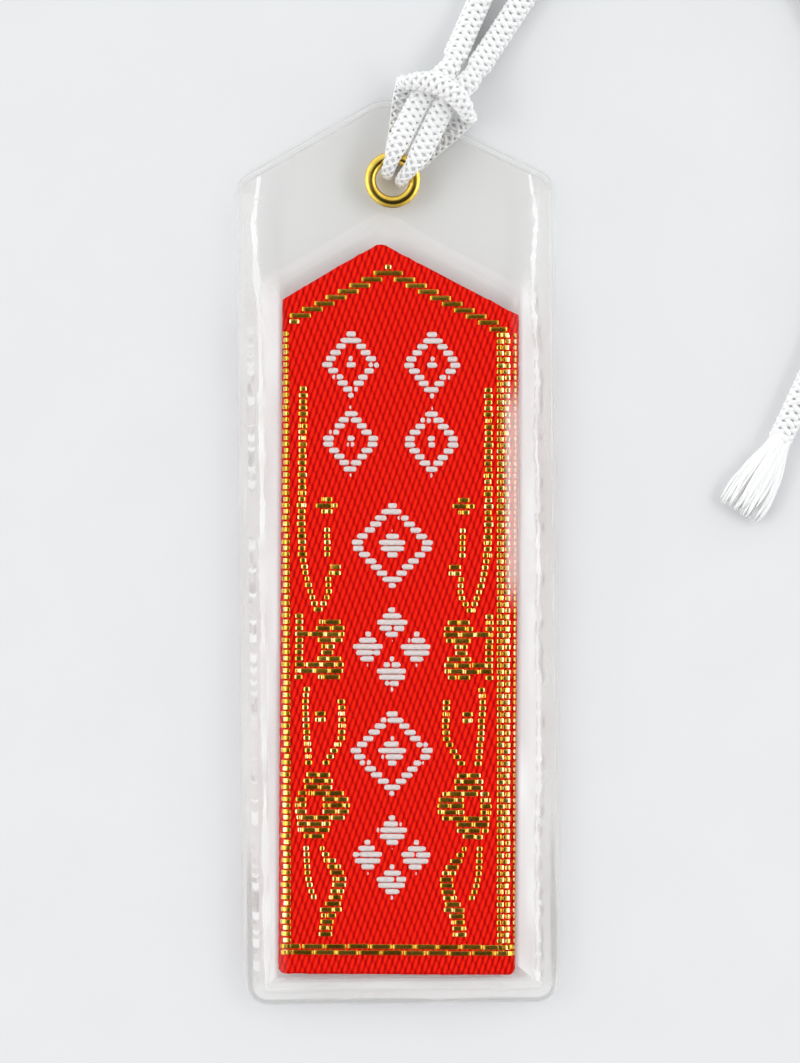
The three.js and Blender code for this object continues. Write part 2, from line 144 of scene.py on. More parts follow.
def smooth_line(points: Array, step: float) -> Array:
    """A curve through points: cubic pieces whose slopes come from the neighbours, evenly spaced afterwards.

    Args:
        points: rows whose first three columns are a place; further columns are carried along.
        step: the distance between the points that come back.

    Returns:
        Rows of the same columns, about a step apart along the curve.
    """
    gaps = np.linalg.norm(np.diff(points[:, :3], axis=0), axis=1) ** 0.5
    knots = np.concatenate([[0.0], np.cumsum(gaps)])
    slopes = np.gradient(points, knots, axis=0)
    fine = np.linspace(0.0, knots[-1], 40 * len(points))
    index = np.clip(np.searchsorted(knots, fine, side="right") - 1, 0, len(points) - 2)
    span = (knots[index + 1] - knots[index])[:, None]
    t = (fine - knots[index])[:, None] / span
    line = (
        (2 * t**3 - 3 * t**2 + 1) * points[index]
        + (t**3 - 2 * t**2 + t) * span * slopes[index]
        + (3 * t**2 - 2 * t**3) * points[index + 1]
        + (t**3 - t**2) * span * slopes[index + 1]
    )
    along = distances(line[:, :3])
    even = np.linspace(0.0, along[-1], int(round(along[-1] / step)) + 1)
    return np.stack([np.interp(even, along, line[:, k]) for k in range(line.shape[1])], axis=1)


def carried_sides(tangents: Array, first: Array) -> Array:
    """A sideways direction carried along a line without twist, one station after the other.

    Args:
        tangents: unit directions of the line.
        first: the sideways direction to start from.

    Returns:
        One unit direction for each station, square to the line there.
    """
    sides = np.empty_like(tangents)
    side = np.asarray(first, float)
    for i, tangent in enumerate(tangents):
        side = side - tangent * (side @ tangent)
        side = side / np.linalg.norm(side)
        sides[i] = side
    return sides


@dataclass
class Shell:
    """Grids of points that become one mesh, in millimetres until then."""

    points: list[Array] = field(default_factory=list)
    faces: list[Array] = field(default_factory=list)
    tags: dict[str, list[Array]] = field(default_factory=dict)
    count: int = 0

    def grid(self, points: Array, closed_rows: bool = False, closed_columns: bool = False,
             capped: bool = False, **tags: Array | float) -> "Shell":
        """Adds grids with a face between each four neighbours, facing columns cross rows.

        Args:
            points: (..., rows, columns, 3); leading axes hold copies of the same grid.
            closed_rows: whether the last row joins the first.
            closed_columns: whether the last column joins the first.
            capped: whether the first and the last row are closed by one face each.
            **tags: one value for each point or for all, kept as attributes of the mesh.

        Returns:
            The shell itself.
        """
        rows, columns = points.shape[-3:-1]
        flat = points.reshape(-1, 3)
        index = np.arange(rows * columns).reshape(rows, columns)
        right, below = np.roll(index, -1, axis=1), np.roll(index, -1, axis=0)
        quads = np.stack([index, right, np.roll(right, -1, axis=0), below], axis=-1)
        quads = quads[: rows if closed_rows else rows - 1, : columns if closed_columns else columns - 1]
        starts = self.count + np.arange(len(flat) // index.size)[:, None, None] * index.size
        self.faces.append((quads.reshape(1, -1, 4) + starts).reshape(-1, 4))
        if capped:
            caps = np.stack([index[0, ::-1], index[-1]])
            self.faces.append((caps[None] + starts).reshape(-1, columns))
        self.points.append(flat)
        self.count += len(flat)
        for name, values in tags.items():
            spread = np.broadcast_to(values, points.shape[:-1]).reshape(-1)
            self.tags.setdefault(name, []).append(spread)
        return self

    def build(self, name: str) -> Piece:
        """Puts the grids into a mesh.

        Args:
            name: the piece's name.

        Returns:
            The new object, at the origin, in metres.
        """
        mesh = bpy.data.meshes.new(name)
        corners = np.concatenate([faces.reshape(-1) for faces in self.faces])
        sizes = np.concatenate([np.full(len(faces), faces.shape[1]) for faces in self.faces])
        mesh.vertices.add(self.count)
        mesh.vertices.foreach_set("co", (np.concatenate(self.points) * MM).astype(np.float32).reshape(-1))
        mesh.loops.add(len(corners))
        mesh.loops.foreach_set("vertex_index", corners.astype(np.int32))
        mesh.polygons.add(len(sizes))
        mesh.polygons.foreach_set("loop_start", (np.cumsum(sizes) - sizes).astype(np.int32))
        for tag, values in self.tags.items():
            attribute = mesh.attributes.new(tag, "FLOAT", "POINT")
            attribute.data.foreach_set("value", np.concatenate(values).astype(np.float32))
        mesh.update(calc_edges=True)
        mesh.shade_smooth()
        piece = bpy.data.objects.new(name, mesh)
        bpy.context.scene.collection.objects.link(piece)
        return piece


def settle(piece: Piece, material: Material, body: str, slot: str, *nodes: str) -> Piece:
    """Dresses a piece, makes it ride on its body and stand for its nodes, and reports it.

    Args:
        piece: the new object.
        material: its finish.
        body: the body that it moves with.
        slot: not used.
        *nodes: the nodes that it stands for.

    Returns:
        The piece.
    """
    piece.data.materials.append(material)
    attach(piece, body)
    if nodes:
        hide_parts(*nodes)
    LOG.info("%s: %d faces on body %s", piece.name, len(piece.data.polygons), body)
    return piece


# Finishes


class Nodes:
    """A node tree in the making: adds nodes, sets their sockets and links them."""

    def __init__(self, tree: bpy.types.NodeTree) -> None:
        """Starts on a tree."""
        self.tree = tree

    def add(self, kind: str, inputs: dict[str | int, object] | None = None,
            **settings: object) -> bpy.types.Node:
        """Adds a node.

        Args:
            kind: the node's type.
            inputs: sockets by name or number, each with a value or another node's output.
            **settings: the node's own properties.

        Returns:
            The node.
        """
        node = self.tree.nodes.new(kind)
        for name, value in settings.items():
            setattr(node, name, value)
        for socket, value in (inputs or {}).items():
            if isinstance(value, Socket):
                self.tree.links.new(value, node.inputs[socket])
            else:
                node.inputs[socket].default_value = value
        return node

    def math(self, operation: str, *values: object) -> Socket:
        """Returns an arithmetic node's value."""
        return self.add("ShaderNodeMath", dict(enumerate(values)), operation=operation).outputs[0]

    def ramp(self, value: Socket, *stops: tuple[float, Colour]) -> Socket:
        """Returns a colour that runs through stops as a value rises."""
        node = self.add("ShaderNodeValToRGB", {"Fac": value})
        elements = node.color_ramp.elements
        while len(elements) < len(stops):
            elements.new(1.0)
        for element, (position, colour) in zip(elements, stops):
            element.position = position
            element.color = (*colour, 1.0)
        return node.outputs["Color"]


class Shader(Nodes):
    """A material in the making, with textures in the piece's own coordinates."""

    def __init__(self, name: str) -> None:
        """Starts an empty material."""
        self.material = bpy.data.materials.new(name)
        self.material.use_nodes = True
        super().__init__(self.material.node_tree)
        self.tree.nodes.clear()

    def place(self, turn: float = 0.0, stretch: Triple = (1.0, 1.0, 1.0)) -> Socket:
        """Returns the piece's own coordinates, turned about Z by degrees and stretched."""
        coordinates = self.add("ShaderNodeTexCoord").outputs["Object"]
        turned = (0.0, 0.0, math.radians(turn))
        mapping = {"Vector": coordinates, "Rotation": turned, "Scale": stretch}
        return self.add("ShaderNodeMapping", mapping).outputs["Vector"]

    def tag(self, name: str) -> Socket:
        """Returns a value that the mesh carries under a name."""
        return self.add("ShaderNodeAttribute", attribute_name=name).outputs["Fac"]

    def noise(self, size: float, detail: float = 3.0, vector: Socket | None = None) -> Socket:
        """Returns noise whose grains are about a size in millimetres."""
        inputs = {"Vector": vector or self.place(), "Scale": 1.0 / (size * MM), "Detail": detail}
        return self.add("ShaderNodeTexNoise", inputs).outputs["Fac"]

    def bump(self, height: Socket, depth: float, strength: float) -> Socket:
        """Returns normals tilted by a height of some millimetres' depth."""
        inputs = {"Height": height, "Distance": depth * MM, "Strength": strength}
        return self.add("ShaderNodeBump", inputs).outputs["Normal"]

    def finish(self, **inputs: object) -> Material:
        """Returns the material with a principled surface; a socket's name is written with underscores."""
        named = {name.replace("_", " "): value for name, value in inputs.items()}
        surface = self.add("ShaderNodeBsdfPrincipled", named).outputs[0]
        self.add("ShaderNodeOutputMaterial", {"Surface": surface})
        return self.material


@dataclass(frozen=True)
class ClearVinyl:
    """Soft clear film: glossy and faintly warm, with edges that melt away."""

    tint: Colour = (0.982, 0.976, 0.962)
    ior: float = 1.30
    roughness: float = 0.03
    ripple: float = 0.012

    def material(self) -> Material:
        """Returns the film's material; the mesh's solid value is 0 where the film can't be seen."""
        shader = Shader("clear_vinyl")
        normal = shader.bump(shader.noise(2.2, 1.0), self.ripple, 0.6)
        return shader.finish(Base_Color=(*self.tint, 1.0), Roughness=self.roughness, IOR=self.ior,
                             Transmission_Weight=1.0, Normal=normal, Alpha=shader.tag("solid"))


@dataclass(frozen=True)
class PaintedVinylLight:
    """The film's weld skins: white where they are painted highlight and painted reflection, grey where they
    are painted shade.
    """

    white: Colour = (0.95, 0.945, 0.94)
    grey: Colour = (0.44, 0.45, 0.45)
    roughness: float = 0.35
    specular: float = 0.3

    def material(self) -> Material:
        """Returns the weld skins' material; the mesh's haze value is 0 where it is clear, its dusk value 1
        where it is painted grey shade.
        """
        shader = Shader("painted_vinyl_light")
        colour = shader.ramp(shader.tag("dusk"), (0.0, self.white), (1.0, self.grey))
        return shader.finish(Base_Color=colour, Roughness=self.roughness, Specular_IOR_Level=self.specular,
                             Alpha=shader.tag("haze"))


@dataclass(frozen=True)
class PolishedBrass:
    """Bright yellow brass with fine rubbing marks."""

    bright: Colour = (0.97, 0.71, 0.13)
    worn: Colour = (0.82, 0.53, 0.07)
    roughness: float = 0.17

    def material(self) -> Material:
        """Returns the eyelet's material."""
        shader = Shader("polished_brass")
        colour = shader.ramp(shader.noise(0.6), (0.3, self.worn), (0.65, self.bright))
        normal = shader.bump(shader.noise(0.09, 2.0), 0.004, 0.5)
        return shader.finish(Base_Color=colour, Metallic=1.0, Roughness=self.roughness, Normal=normal)


@dataclass(frozen=True)
class RedTwill:
    """The woven ground: ribs of twisted yarn with grooves between them, the crests brightened as painted
    highlight and the grooves darkened as painted shade.
    """

    groove: Colour = (0.36, 0.0, 0.0)
    body: Colour = (0.70, 0.003, 0.001)
    crest: Colour = (0.96, 0.016, 0.004)
    grain: float = 1.15
    stagger: float = 0.12
    slant: float = 0.33
    roughness: float = 0.7
    specular: float = 0.06

    def material(self) -> Material:
        """Returns the ground's material, whose ribs are broken into grains that step from rib to rib; the
        breaks between grains are darkened as painted shade.

        The mesh's rib value is 0 in a groove and 1 on a crest. Its across value counts the ribs, and its
        along value is the distance along them in millimetres.
        """
        shader = Shader("red_twill")
        across, fuzz = shader.tag("across"), shader.noise(0.12, 4.0)
        shift = shader.math("MULTIPLY", across, self.slant)
        step = shader.math("MULTIPLY_ADD", shader.math("FLOOR", across), self.stagger, shift)
        phase = shader.math("MULTIPLY_ADD", shader.tag("along"), 1.0 / self.grain, step)
        swing = shader.math("MULTIPLY_ADD", shader.math("FRACT", phase), 2.0, -1.0)
        # The nick is painted shade at each break between grains.
        nick = shader.math("POWER", shader.math("ABSOLUTE", swing), 3.0)
        shade = shader.math("MULTIPLY_ADD", nick, -0.50, shader.math("MULTIPLY_ADD", fuzz, 0.34, -0.06))
        tone = shader.math("ADD", shader.tag("rib"), shade)
        colour = shader.ramp(tone, (0.05, self.groove), (0.5, self.body), (0.95, self.crest))
        height = shader.math("MULTIPLY_ADD", fuzz, 0.5, shader.math("SUBTRACT", 1.0, nick))
        return shader.finish(Base_Color=colour, Roughness=self.roughness, Specular_IOR_Level=self.specular,
                             Normal=shader.bump(height, 0.05, 0.8))


@dataclass(frozen=True)
class GoldLame:
    """Flat metallic thread, each float a little brighter or browner than the next, with painted highlights.
    """

    # dull is partly the thread's random tone and partly painted dark reflection on the flats; pale is a
    # painted highlight
    dull: Colour = (0.42, 0.21, 0.012)
    middle: Colour = (0.78, 0.48, 0.06)
    pale: Colour = (1.0, 0.89, 0.52)
    roughness: float = 0.22

    def material(self) -> Material:
        """Returns the gold thread's material; the mesh's bend value is 1 where a float turns down and
        paints a pale highlight there.
        """
        shader = Shader("gold_lame")
        own = shader.math("MULTIPLY", shader.tag("tone"), 0.28)
        tone = shader.math("MULTIPLY_ADD", shader.noise(0.3), 0.45, own)
        tone = shader.math("MULTIPLY_ADD", shader.tag("bend"), 0.55, tone)
        colour = shader.ramp(tone, (0.15, self.dull), (0.55, self.middle), (0.95, self.pale))
        normal = shader.bump(shader.noise(0.15, 2.0), 0.02, 0.6)
        return shader.finish(Base_Color=colour, Metallic=1.0, Roughness=self.roughness, Normal=normal)


@dataclass(frozen=True)
class WhiteThread:
    """Soft off-white floss that lies in rounded floats."""

    shadow: Colour = (0.60, 0.50, 0.49)
    light: Colour = (0.80, 0.745, 0.73)
    roughness: float = 0.55
    sheen: float = 0.3

    def material(self) -> Material:
        """Returns the white thread's material."""
        shader = Shader("white_thread")
        strands = shader.noise(0.10, 3.0, shader.place(0.0, (0.25, 1.0, 1.0)))
        colour = shader.ramp(strands, (0.25, self.shadow), (0.6, self.light))
        return shader.finish(Base_Color=colour, Roughness=self.roughness, Sheen_Weight=self.sheen,
                             Normal=shader.bump(strands, 0.03, 0.7))


@dataclass(frozen=True)
class PulpSheet:
    """Card or paper: pale pulp with fibres and specks."""

    name: str
    light: Colour
    dark: Colour
    fibre: float = 0.4
    roughness: float = 0.9

    def material(self) -> Material:
        """Returns the sheet's material."""
        shader = Shader(self.name)
        fibres = shader.noise(self.fibre, 6.0, shader.place(20.0, (1.0, 0.3, 1.0)))
        colour = shader.ramp(fibres, (0.3, self.dark), (0.62, self.light))
        return shader.finish(Base_Color=colour, Roughness=self.roughness,
                             Normal=shader.bump(fibres, 0.02, 0.5))


@dataclass(frozen=True)
class WhiteBraid:
    """Glossy white yarn of fine filaments, with painted shade where it dives under its neighbour and deep
    in the braid.
    """

    hollow_shade: Colour = (0.66, 0.66, 0.66)
    under: Colour = (0.97, 0.97, 0.97)
    over: Colour = (0.99, 0.99, 0.985)
    filaments: float = 34.0
    roughness: float = 0.42
    sheen: float = 0.2

    def material(self) -> Material:
        """Returns the yarn's material; lift is 1 on top of the braid and 0 inside it, and a low lift paints
        the yarn darker as shade.
        """
        shader = Shader("white_braid")
        colour = shader.ramp(shader.tag("lift"), (0.0, self.hollow_shade), (0.4, self.under), (0.75, self.over))
        wave = shader.math("SINE", shader.math("MULTIPLY", shader.tag("across"), self.filaments))
        rough = shader.math("MULTIPLY_ADD", shader.noise(0.12, 3.0), 0.8, wave)
        return shader.finish(Base_Color=colour, Roughness=self.roughness, Sheen_Weight=self.sheen,
                             Normal=shader.bump(rough, 0.006, 0.6))


@dataclass(frozen=True)
class WhitePaper:
    """The pale surface that the charm lies on."""

    colour: Colour = (0.80, 0.808, 0.818)
    cloud: float = 0.985
    tooth: float = 0.05
    roughness: float = 0.85
    specular: float = 0.2

    def material(self) -> Material:
        """Returns the surface's material."""
        shader = Shader("white_paper")
        dark = tuple(self.cloud * channel for channel in self.colour)
        colour = shader.ramp(shader.noise(9.0, 3.0), (0.3, dark), (0.7, self.colour))
        return shader.finish(Base_Color=colour, Roughness=self.roughness, Specular_IOR_Level=self.specular,
                             Normal=shader.bump(shader.noise(0.8, 4.0), self.tooth, 0.15))


# The stage and the camera come first; the cords' points are measured against the view


@dataclass
class Stage:
    """Camera, lamps, surface and surroundings of a copy stand."""

    view_middle: Pair = (0.17, 1.595)
    view_height: float = 95.42
    view_level: float = 2.3
    roll: float = -0.527
    lens: float = 120.0
    sensor: float = 36.0
    floor_half: float = 1500.0
    lamp_place: Triple = (430.0, 30.0, 400.0)
    lamp_size: Pair = (140.0, 400.0)
    lamp_power: float = 0.45
    wall: Colour = (0.99, 1.0, 1.01)
    wall_level: float = 0.72
    wall_sides: float = 1.10
    wall_head: float = 0.28
    dark: Colour = (0.03, 0.03, 0.03)
    dark_way: Triple = (0.05, -0.20, 0.9785)
    dark_edge: Pair = (0.885, 0.955)

    def build(self) -> None:
        """Makes the camera, the surface, both lamps and the world."""
        self.camera()
        self.floor()
        for side in (-1.0, 1.0):
            self.lamp(side)
        self.world()
        bpy.context.scene.view_settings.view_transform = "Standard"

    def camera(self) -> None:
        """Hangs the camera straight above the charm, turned a little as the photograph is."""
        data = bpy.data.cameras.new("camera")
        data.lens, data.sensor_width = self.lens, self.sensor
        data.clip_start, data.clip_end = 0.01, 20.0
        camera = bpy.data.objects.new("camera", data)
        distance = self.view_height * self.lens / self.sensor
        camera.location = np.array([*self.view_middle, distance + self.view_level]) * MM
        camera.rotation_euler = (0.0, 0.0, math.radians(self.roll))
        bpy.context.scene.collection.objects.link(camera)
        bpy.context.scene.camera = camera

    def floor(self) -> None:
        """Lays a flat sheet at height 0: a grid over X and Y."""
        reach = np.linspace(-self.floor_half, self.floor_half, 9)
        x, y = np.meshgrid(reach, reach)
        floor = Shell().grid(np.stack([x, y, np.zeros_like(x)], axis=-1)).build("floor")
        floor.data.materials.append(WhitePaper().material())

    def lamp(self, side: float) -> None:
        """Stands a soft box on one side, facing the charm."""
        data = bpy.data.lights.new("soft_box", "AREA")
        data.shape = "RECTANGLE"
        data.size, data.size_y = np.array(self.lamp_size) * MM
        data.energy = self.lamp_power
        lamp = bpy.data.objects.new("soft_box", data)
        x, y, z = self.lamp_place
        lamp.location = np.array([side * x, y, z]) * MM
        lamp.rotation_euler = (0.0, side * math.atan2(x, z), 0.0)
        bpy.context.scene.collection.objects.link(lamp)

    def world(self) -> None:
        """Surrounds the scene with walls, brightest to both sides, and a dark patch nearly overhead."""
        world = bpy.data.worlds.new("studio")
        bpy.context.scene.world = world
        world.use_nodes = True
        nodes = Nodes(world.node_tree)
        direction = nodes.add("ShaderNodeTexCoord").outputs["Generated"]
        x, y, _ = nodes.add("ShaderNodeSeparateXYZ", {0: direction}).outputs
        near = nodes.add("ShaderNodeVectorMath", {0: direction, 1: self.dark_way}, operation="DOT_PRODUCT")
        first, last = self.dark_edge
        colour = nodes.ramp(near.outputs["Value"], (0.0, self.wall), (first, self.wall), (last, self.dark))
        sides = nodes.math("MULTIPLY_ADD", nodes.math("MULTIPLY", x, x), self.wall_sides, self.wall_level)
        strength = nodes.math("MULTIPLY_ADD", y, self.wall_head, sides)
        background = nodes.tree.nodes["Background"]
        nodes.tree.links.new(strength, background.inputs["Strength"])
        nodes.tree.links.new(colour, background.inputs["Color"])


# The cord


@dataclass
class Cord:
    """The doubled white braid: its hitch through the eyelet, its two tails and their frayed ends."""

    eyelet: Pair = (-0.2, 33.225)
    lean: float = 28.5
    diameter: float = 1.9
    tail: Pair = (2.35, 1.98)
    fuller: float = 1.16
    leg_level: float = 2.4
    leg_width: float = 1.7
    bight_level: float = 3.8
    thinnest: float = 0.4
    narrowest: float = 0.6
    pitch: float = 2.9
    strands: int = 4
    strand_width: float = 0.44
    strand_thickness: float = 0.40
    wave: float = 0.12
    core: float = 0.62
    step: float = 0.0905
    section: int = 8
    locks: int = 230
    lock: float = 0.22
    fibres: int = 420
    fibre: float = 0.04
    fray_width: float = 4.2
    fray_thickness: float = 1.3
    fray_root: float = 0.40
    fray_spread: float = 0.46
    fray_rise: float = 0.42
    fray_curl: float = 0.16
    fray_uneven: float = 0.24
    fray_taper: float = 0.6
    fray_step: float = 0.8
    floor_gap: float = 0.05
    # Points of the hitch: X across the doubled cord, Y away from the eyelet, Z up, then two section sizes
    hitch: Route = (
        (-0.22, 12.05, 1.95, 1.9, 1.7), (-0.20, 10.95, 2.45, 1.9, 1.6), (-0.55, 9.90, 2.78, 1.9, 1.5),
        (-1.02, 8.70, 2.80, 1.9, 1.5), (-1.16, 6.80, 2.80, 1.9, 1.5), (-1.12, 4.60, 2.85, 1.9, 1.4),
        (-1.02, 2.90, 3.12, 1.8, 1.2), (-0.88, 1.60, 3.12, 1.5, 1.0), (-0.75, 0.65, 2.66, 1.3, 0.9),
        (-0.69, 0.20, 1.60, 1.2, 1.0), (-0.72, 0.32, 0.85, 1.0, 0.8), (-0.86, 1.20, 0.40, 1.3, 0.6),
        (-1.25, 2.70, 0.38, 1.7, 0.6), (-1.85, 4.60, 0.55, 1.8, 0.9), (-2.55, 6.30, 0.60, 1.8, 0.9),
        (-2.98, 7.60, 0.66, 1.7, 0.9), (-3.25, 8.35, 1.55, 1.6, 1.1), (-3.00, 8.05, 3.05, 1.5, 1.3),
        (-2.20, 8.55, 4.10, 1.4, 1.5), (-0.95, 9.05, 4.55, 1.3, 1.7), (0.30, 9.20, 4.65, 1.3, 1.7),
        (1.55, 9.05, 4.50, 1.3, 1.7), (2.65, 8.60, 3.90, 1.4, 1.5), (3.25, 8.10, 2.90, 1.5, 1.3),
        (3.45, 8.40, 1.55, 1.6, 1.1), (3.06, 7.70, 0.66, 1.7, 0.9), (2.60, 6.30, 0.60, 1.8, 0.9),
        (1.88, 4.60, 0.55, 1.8, 0.9), (1.25, 2.70, 0.38, 1.7, 0.6), (0.86, 1.20, 0.40, 1.3, 0.6),
        (0.72, 0.32, 0.85, 1.0, 0.8), (0.70, 0.20, 1.60, 1.2, 1.0), (0.80, 0.65, 2.66, 1.3, 0.9),
        (1.02, 1.60, 3.12, 1.5, 1.0), (1.14, 2.90, 3.12, 1.8, 1.2), (1.10, 4.60, 2.85, 1.9, 1.4),
        (1.02, 6.80, 2.80, 1.9, 1.5), (1.10, 8.70, 2.80, 1.9, 1.5), (1.55, 9.90, 2.78, 1.9, 1.5),
        (1.92, 10.95, 2.45, 1.9, 1.6), (1.98, 12.05, 1.95, 1.9, 1.7),
    )
    # Points of the tails and the frayed ends, from the eyelet's middle on the surface
    left_tail: Route = (
        (5.74, 11.13, 1.78), (6.32, 12.45, 1.35), (7.02, 14.05, 1.05), (7.98, 16.20, 1.00),
        (9.60, 19.90, 1.00), (12.50, 24.45, 1.00), (17.10, 27.75, 1.00), (22.80, 29.25, 1.00),
        (28.80, 28.65, 1.00), (34.50, 25.95, 1.00), (39.20, 21.65, 1.00), (42.40, 16.05, 1.00),
        (44.40, 9.65, 1.00), (45.30, 3.05, 1.00), (45.30, -3.15, 1.00), (44.60, -8.15, 1.00),
    )
    right_tail: Route = (
        (7.76, 10.05, 1.78), (8.62, 11.35, 1.35), (9.86, 13.20, 1.05), (11.82, 16.15, 1.00),
        (13.90, 18.95, 1.00), (16.80, 21.85, 1.00), (20.80, 24.45, 1.00), (25.60, 25.35, 1.00),
        (30.50, 23.95, 1.00), (34.80, 20.65, 1.00), (38.10, 16.05, 1.00), (40.30, 10.45, 1.00),
        (41.30, 4.45, 1.00), (41.40, -2.35, 1.00), (40.40, -9.15, 1.00), (38.60, -15.15, 1.00),
        (36.50, -19.95, 1.00), (34.70, -23.65, 1.00),
    )
    left_fray: Route = (
        (44.69, -7.55, 1.00), (44.56, -8.45, 1.00), (44.20, -11.15, 0.98), (43.50, -13.85, 0.90),
        (42.60, -16.25, 0.85),
    )
    right_fray: Route = (
        (35.00, -23.13, 1.00), (34.57, -23.92, 1.00), (33.30, -26.25, 0.98), (32.10, -28.35, 0.90),
        (30.95, -30.25, 0.85),
    )

    def build(self) -> None:
        yarn = WhiteBraid().material()
        line, cuts = self.route()
        names = ("cord_tail_left", "cord_hitch", "cord_tail_right")
        frays = {
            "cord_tail_left": self.fray("fray_left", self.left_fray, yarn, 11),
            "cord_tail_right": self.fray("fray_right", self.right_fray, yarn, 12),
        }
        for name, first, last in zip(names, cuts[:-1], cuts[1:]):
            piece = self.braid(name.replace("cord_", "braid_"), line, first, last)
            settle(piece, yarn, "cord", "cord", name)
            path = line[first:last + 1, :3] * MM
            if name == "cord_tail_left":
                path = path[::-1]

    def route(self) -> tuple[Array, list[int]]:
        """The whole cord's middle line, from the left tail's end through the hitch to the right tail's.

        Returns:
            Rows of place and section sizes, and the stations where the hitch starts and ends.
        """
        lean = math.radians(self.lean)
        turned = np.array([[math.cos(lean), -math.sin(lean)], [math.sin(lean), math.cos(lean)]])
        hitch = np.array(self.hitch)
        hitch[:, :2] = hitch[:, :2] @ turned
        legs = (hitch[:, 2] > self.leg_level) & (hitch[:, 3] > self.leg_width)
        hitch[:, 3] *= np.where(legs, self.fuller, 1.0)
        hitch[:, 3:5] *= np.where(hitch[:, 2:3] > self.bight_level, self.fuller, 1.0)
        left = np.array([(*point, *self.tail) for point in self.left_tail[::-1]])
        right = np.array([(*point, *self.tail) for point in self.right_tail])
        points = np.concatenate([left, hitch, right])
        points[:, :2] += self.eyelet
        line = smooth_line(points, self.step)
        ends = (points[len(left)], points[len(left) + len(hitch) - 1])
        marks = [int(np.linalg.norm(line[:, :3] - end[:3], axis=1).argmin()) for end in ends]
        return line, [0, *marks, len(line) - 1]

    def braid(self, name: str, line: Array, first: int, last: int) -> Piece:
        """Eight flat strands, four each way round, over a plain core.

        A strand's angle runs evenly with the distance along the cord. Its radius rises and falls as a
        cosine with one crossing in each half wave, so the two ways round pass over and under in turn.

        Args:
            name: the piece's name.
            line: the whole cord's middle line and section sizes.
            first: the station that the piece starts at.
            last: the station that it ends at.

        Returns:
            The piece.
        """
        tangents = unit(np.gradient(line[:, :3], axis=0))
        sides = carried_sides(tangents, np.array([tangents[0, 1], -tangents[0, 0], 0.0]))
        ups = np.cross(sides, tangents)
        ups *= np.where(ups[:, 2:3].mean() < 0, -1.0, 1.0)
        along = np.arange(len(line)) * self.step
        cut = slice(first, last + 1)
        half = line[:, 3:5] / 2.0
        scale = np.clip(line[:, 3:5].min(axis=1) / self.diameter, self.thinnest, 1.0)
        broad = np.clip(line[:, 3:5].mean(axis=1) / self.diameter, self.narrowest, 1.0)
        wave = np.cos(TURN * self.strands * along / self.pitch)
        turns = TURN * along / self.pitch
        ring = open_steps(TURN, self.section)
        round_across, round_up = np.cos(ring), np.sin(ring)
        shell = Shell()
        for way in (1.0, -1.0):
            for number in range(self.strands):
                angle = way * turns + TURN * number / self.strands + math.pi / (2.0 * self.strands)
                sink = (self.strand_thickness / 2.0 + self.wave * (1.0 - way * wave)) * scale
                radii = half - sink[:, None]
                cosine, sine = np.cos(angle), np.sin(angle)
                middle = line[:, :3] + sides * (radii[:, :1] * cosine[:, None])
                middle = middle + ups * (radii[:, 1:] * sine[:, None])
                ahead = unit(np.gradient(middle, axis=0))
                out = unit(sides * (cosine / half[:, 0])[:, None] + ups * (sine / half[:, 1])[:, None])
                flat = unit(np.cross(ahead, out))
                thick = np.cross(flat, ahead)
                across = (self.strand_width / 2.0) * broad[:, None] * round_across
                through = (self.strand_thickness / 2.0) * scale[:, None] * round_up
                points = middle[:, None] + flat[:, None] * across[..., None]
                points = points + thick[:, None] * through[..., None]
                # Painted shade: lift falls where a strand dives under the other way round and on its side
                # towards the core.
                lift = 0.5 + 0.3 * (way * wave)[:, None] + 0.2 * round_up
                shell.grid(points[cut, ::-1], closed_columns=True, capped=True, lift=lift[cut, ::-1],
                           across=round_across[::-1])
        core = half * self.core
        inner = line[:, None, :3] + sides[:, None] * (core[:, :1] * round_across)[..., None]
        inner = inner + ups[:, None] * (core[:, 1:] * round_up)[..., None]
        # The core's lift of 0 gives it the darkest colour, painted shade in the braid's hollows.
        shell.grid(inner[cut, ::-1], closed_columns=True, capped=True, lift=0.0, across=0.0)
        return shell.build(name)

    def fray(self, name: str, route: Route, yarn: Material, seed: int) -> Piece:
        """A tuft of loose locks and fibres: tubes that fan out from the braid's end, each with a curl.

        Args:
            name: the piece's name, which its node shares apart from its first word.
            route: points of the tuft's middle line.
            yarn: the fibres' material.
            seed: the tuft's own random draws.

        Returns:
            The piece.
        """
        draws = np.random.default_rng(seed)
        points = np.array(route)
        points[:, :2] += self.eyelet
        line = smooth_line(points, self.fray_step)
        share = np.linspace(0.0, 1.0, len(line))
        tangents = unit(np.gradient(line, axis=0))
        sides = unit(np.cross(tangents, UP))
        shell = Shell()
        for count, thickness, sides_count in ((self.locks, self.lock, 6), (self.fibres, self.fibre, 3)):
            radius = np.sqrt(draws.uniform(0.0, 1.0, count))
            angle = draws.uniform(0.0, TURN, count)
            start = np.stack([radius * np.cos(angle), radius * np.sin(angle)], axis=1)
            fan = eased(share * 1.15)
            root = self.diameter * self.fray_root * (1 - fan)
            spread = root + self.fray_width * self.fray_spread * fan
            rise = root + self.fray_thickness * self.fray_rise * fan
            curl = draws.normal(0.0, self.fray_curl, (count, 2, 1)) * np.sin(
                share * draws.uniform(2.0, 6.0, (count, 1, 1)) + draws.uniform(0.0, 6.0, (count, 1, 1)))
            reach = 1.0 - self.fray_uneven * draws.uniform(0.0, 1.0, count) ** 1.5
            station = share[None] * reach[:, None]
            middle = np.stack([np.interp(station, share, line[:, k]) for k in range(3)], axis=-1)
            lateral = start[:, :1] * spread + curl[:, 0] * fan
            vertical = start[:, 1:] * rise + curl[:, 1] * fan * 0.6
            middle = middle + lateral[..., None] * sides + vertical[..., None] * UP
            middle[..., 2] = np.maximum(middle[..., 2], self.floor_gap + thickness)
            ring = open_steps(TURN, sides_count)
            thin = thickness * (1.0 - self.fray_taper * share**3)[None, :, None, None]
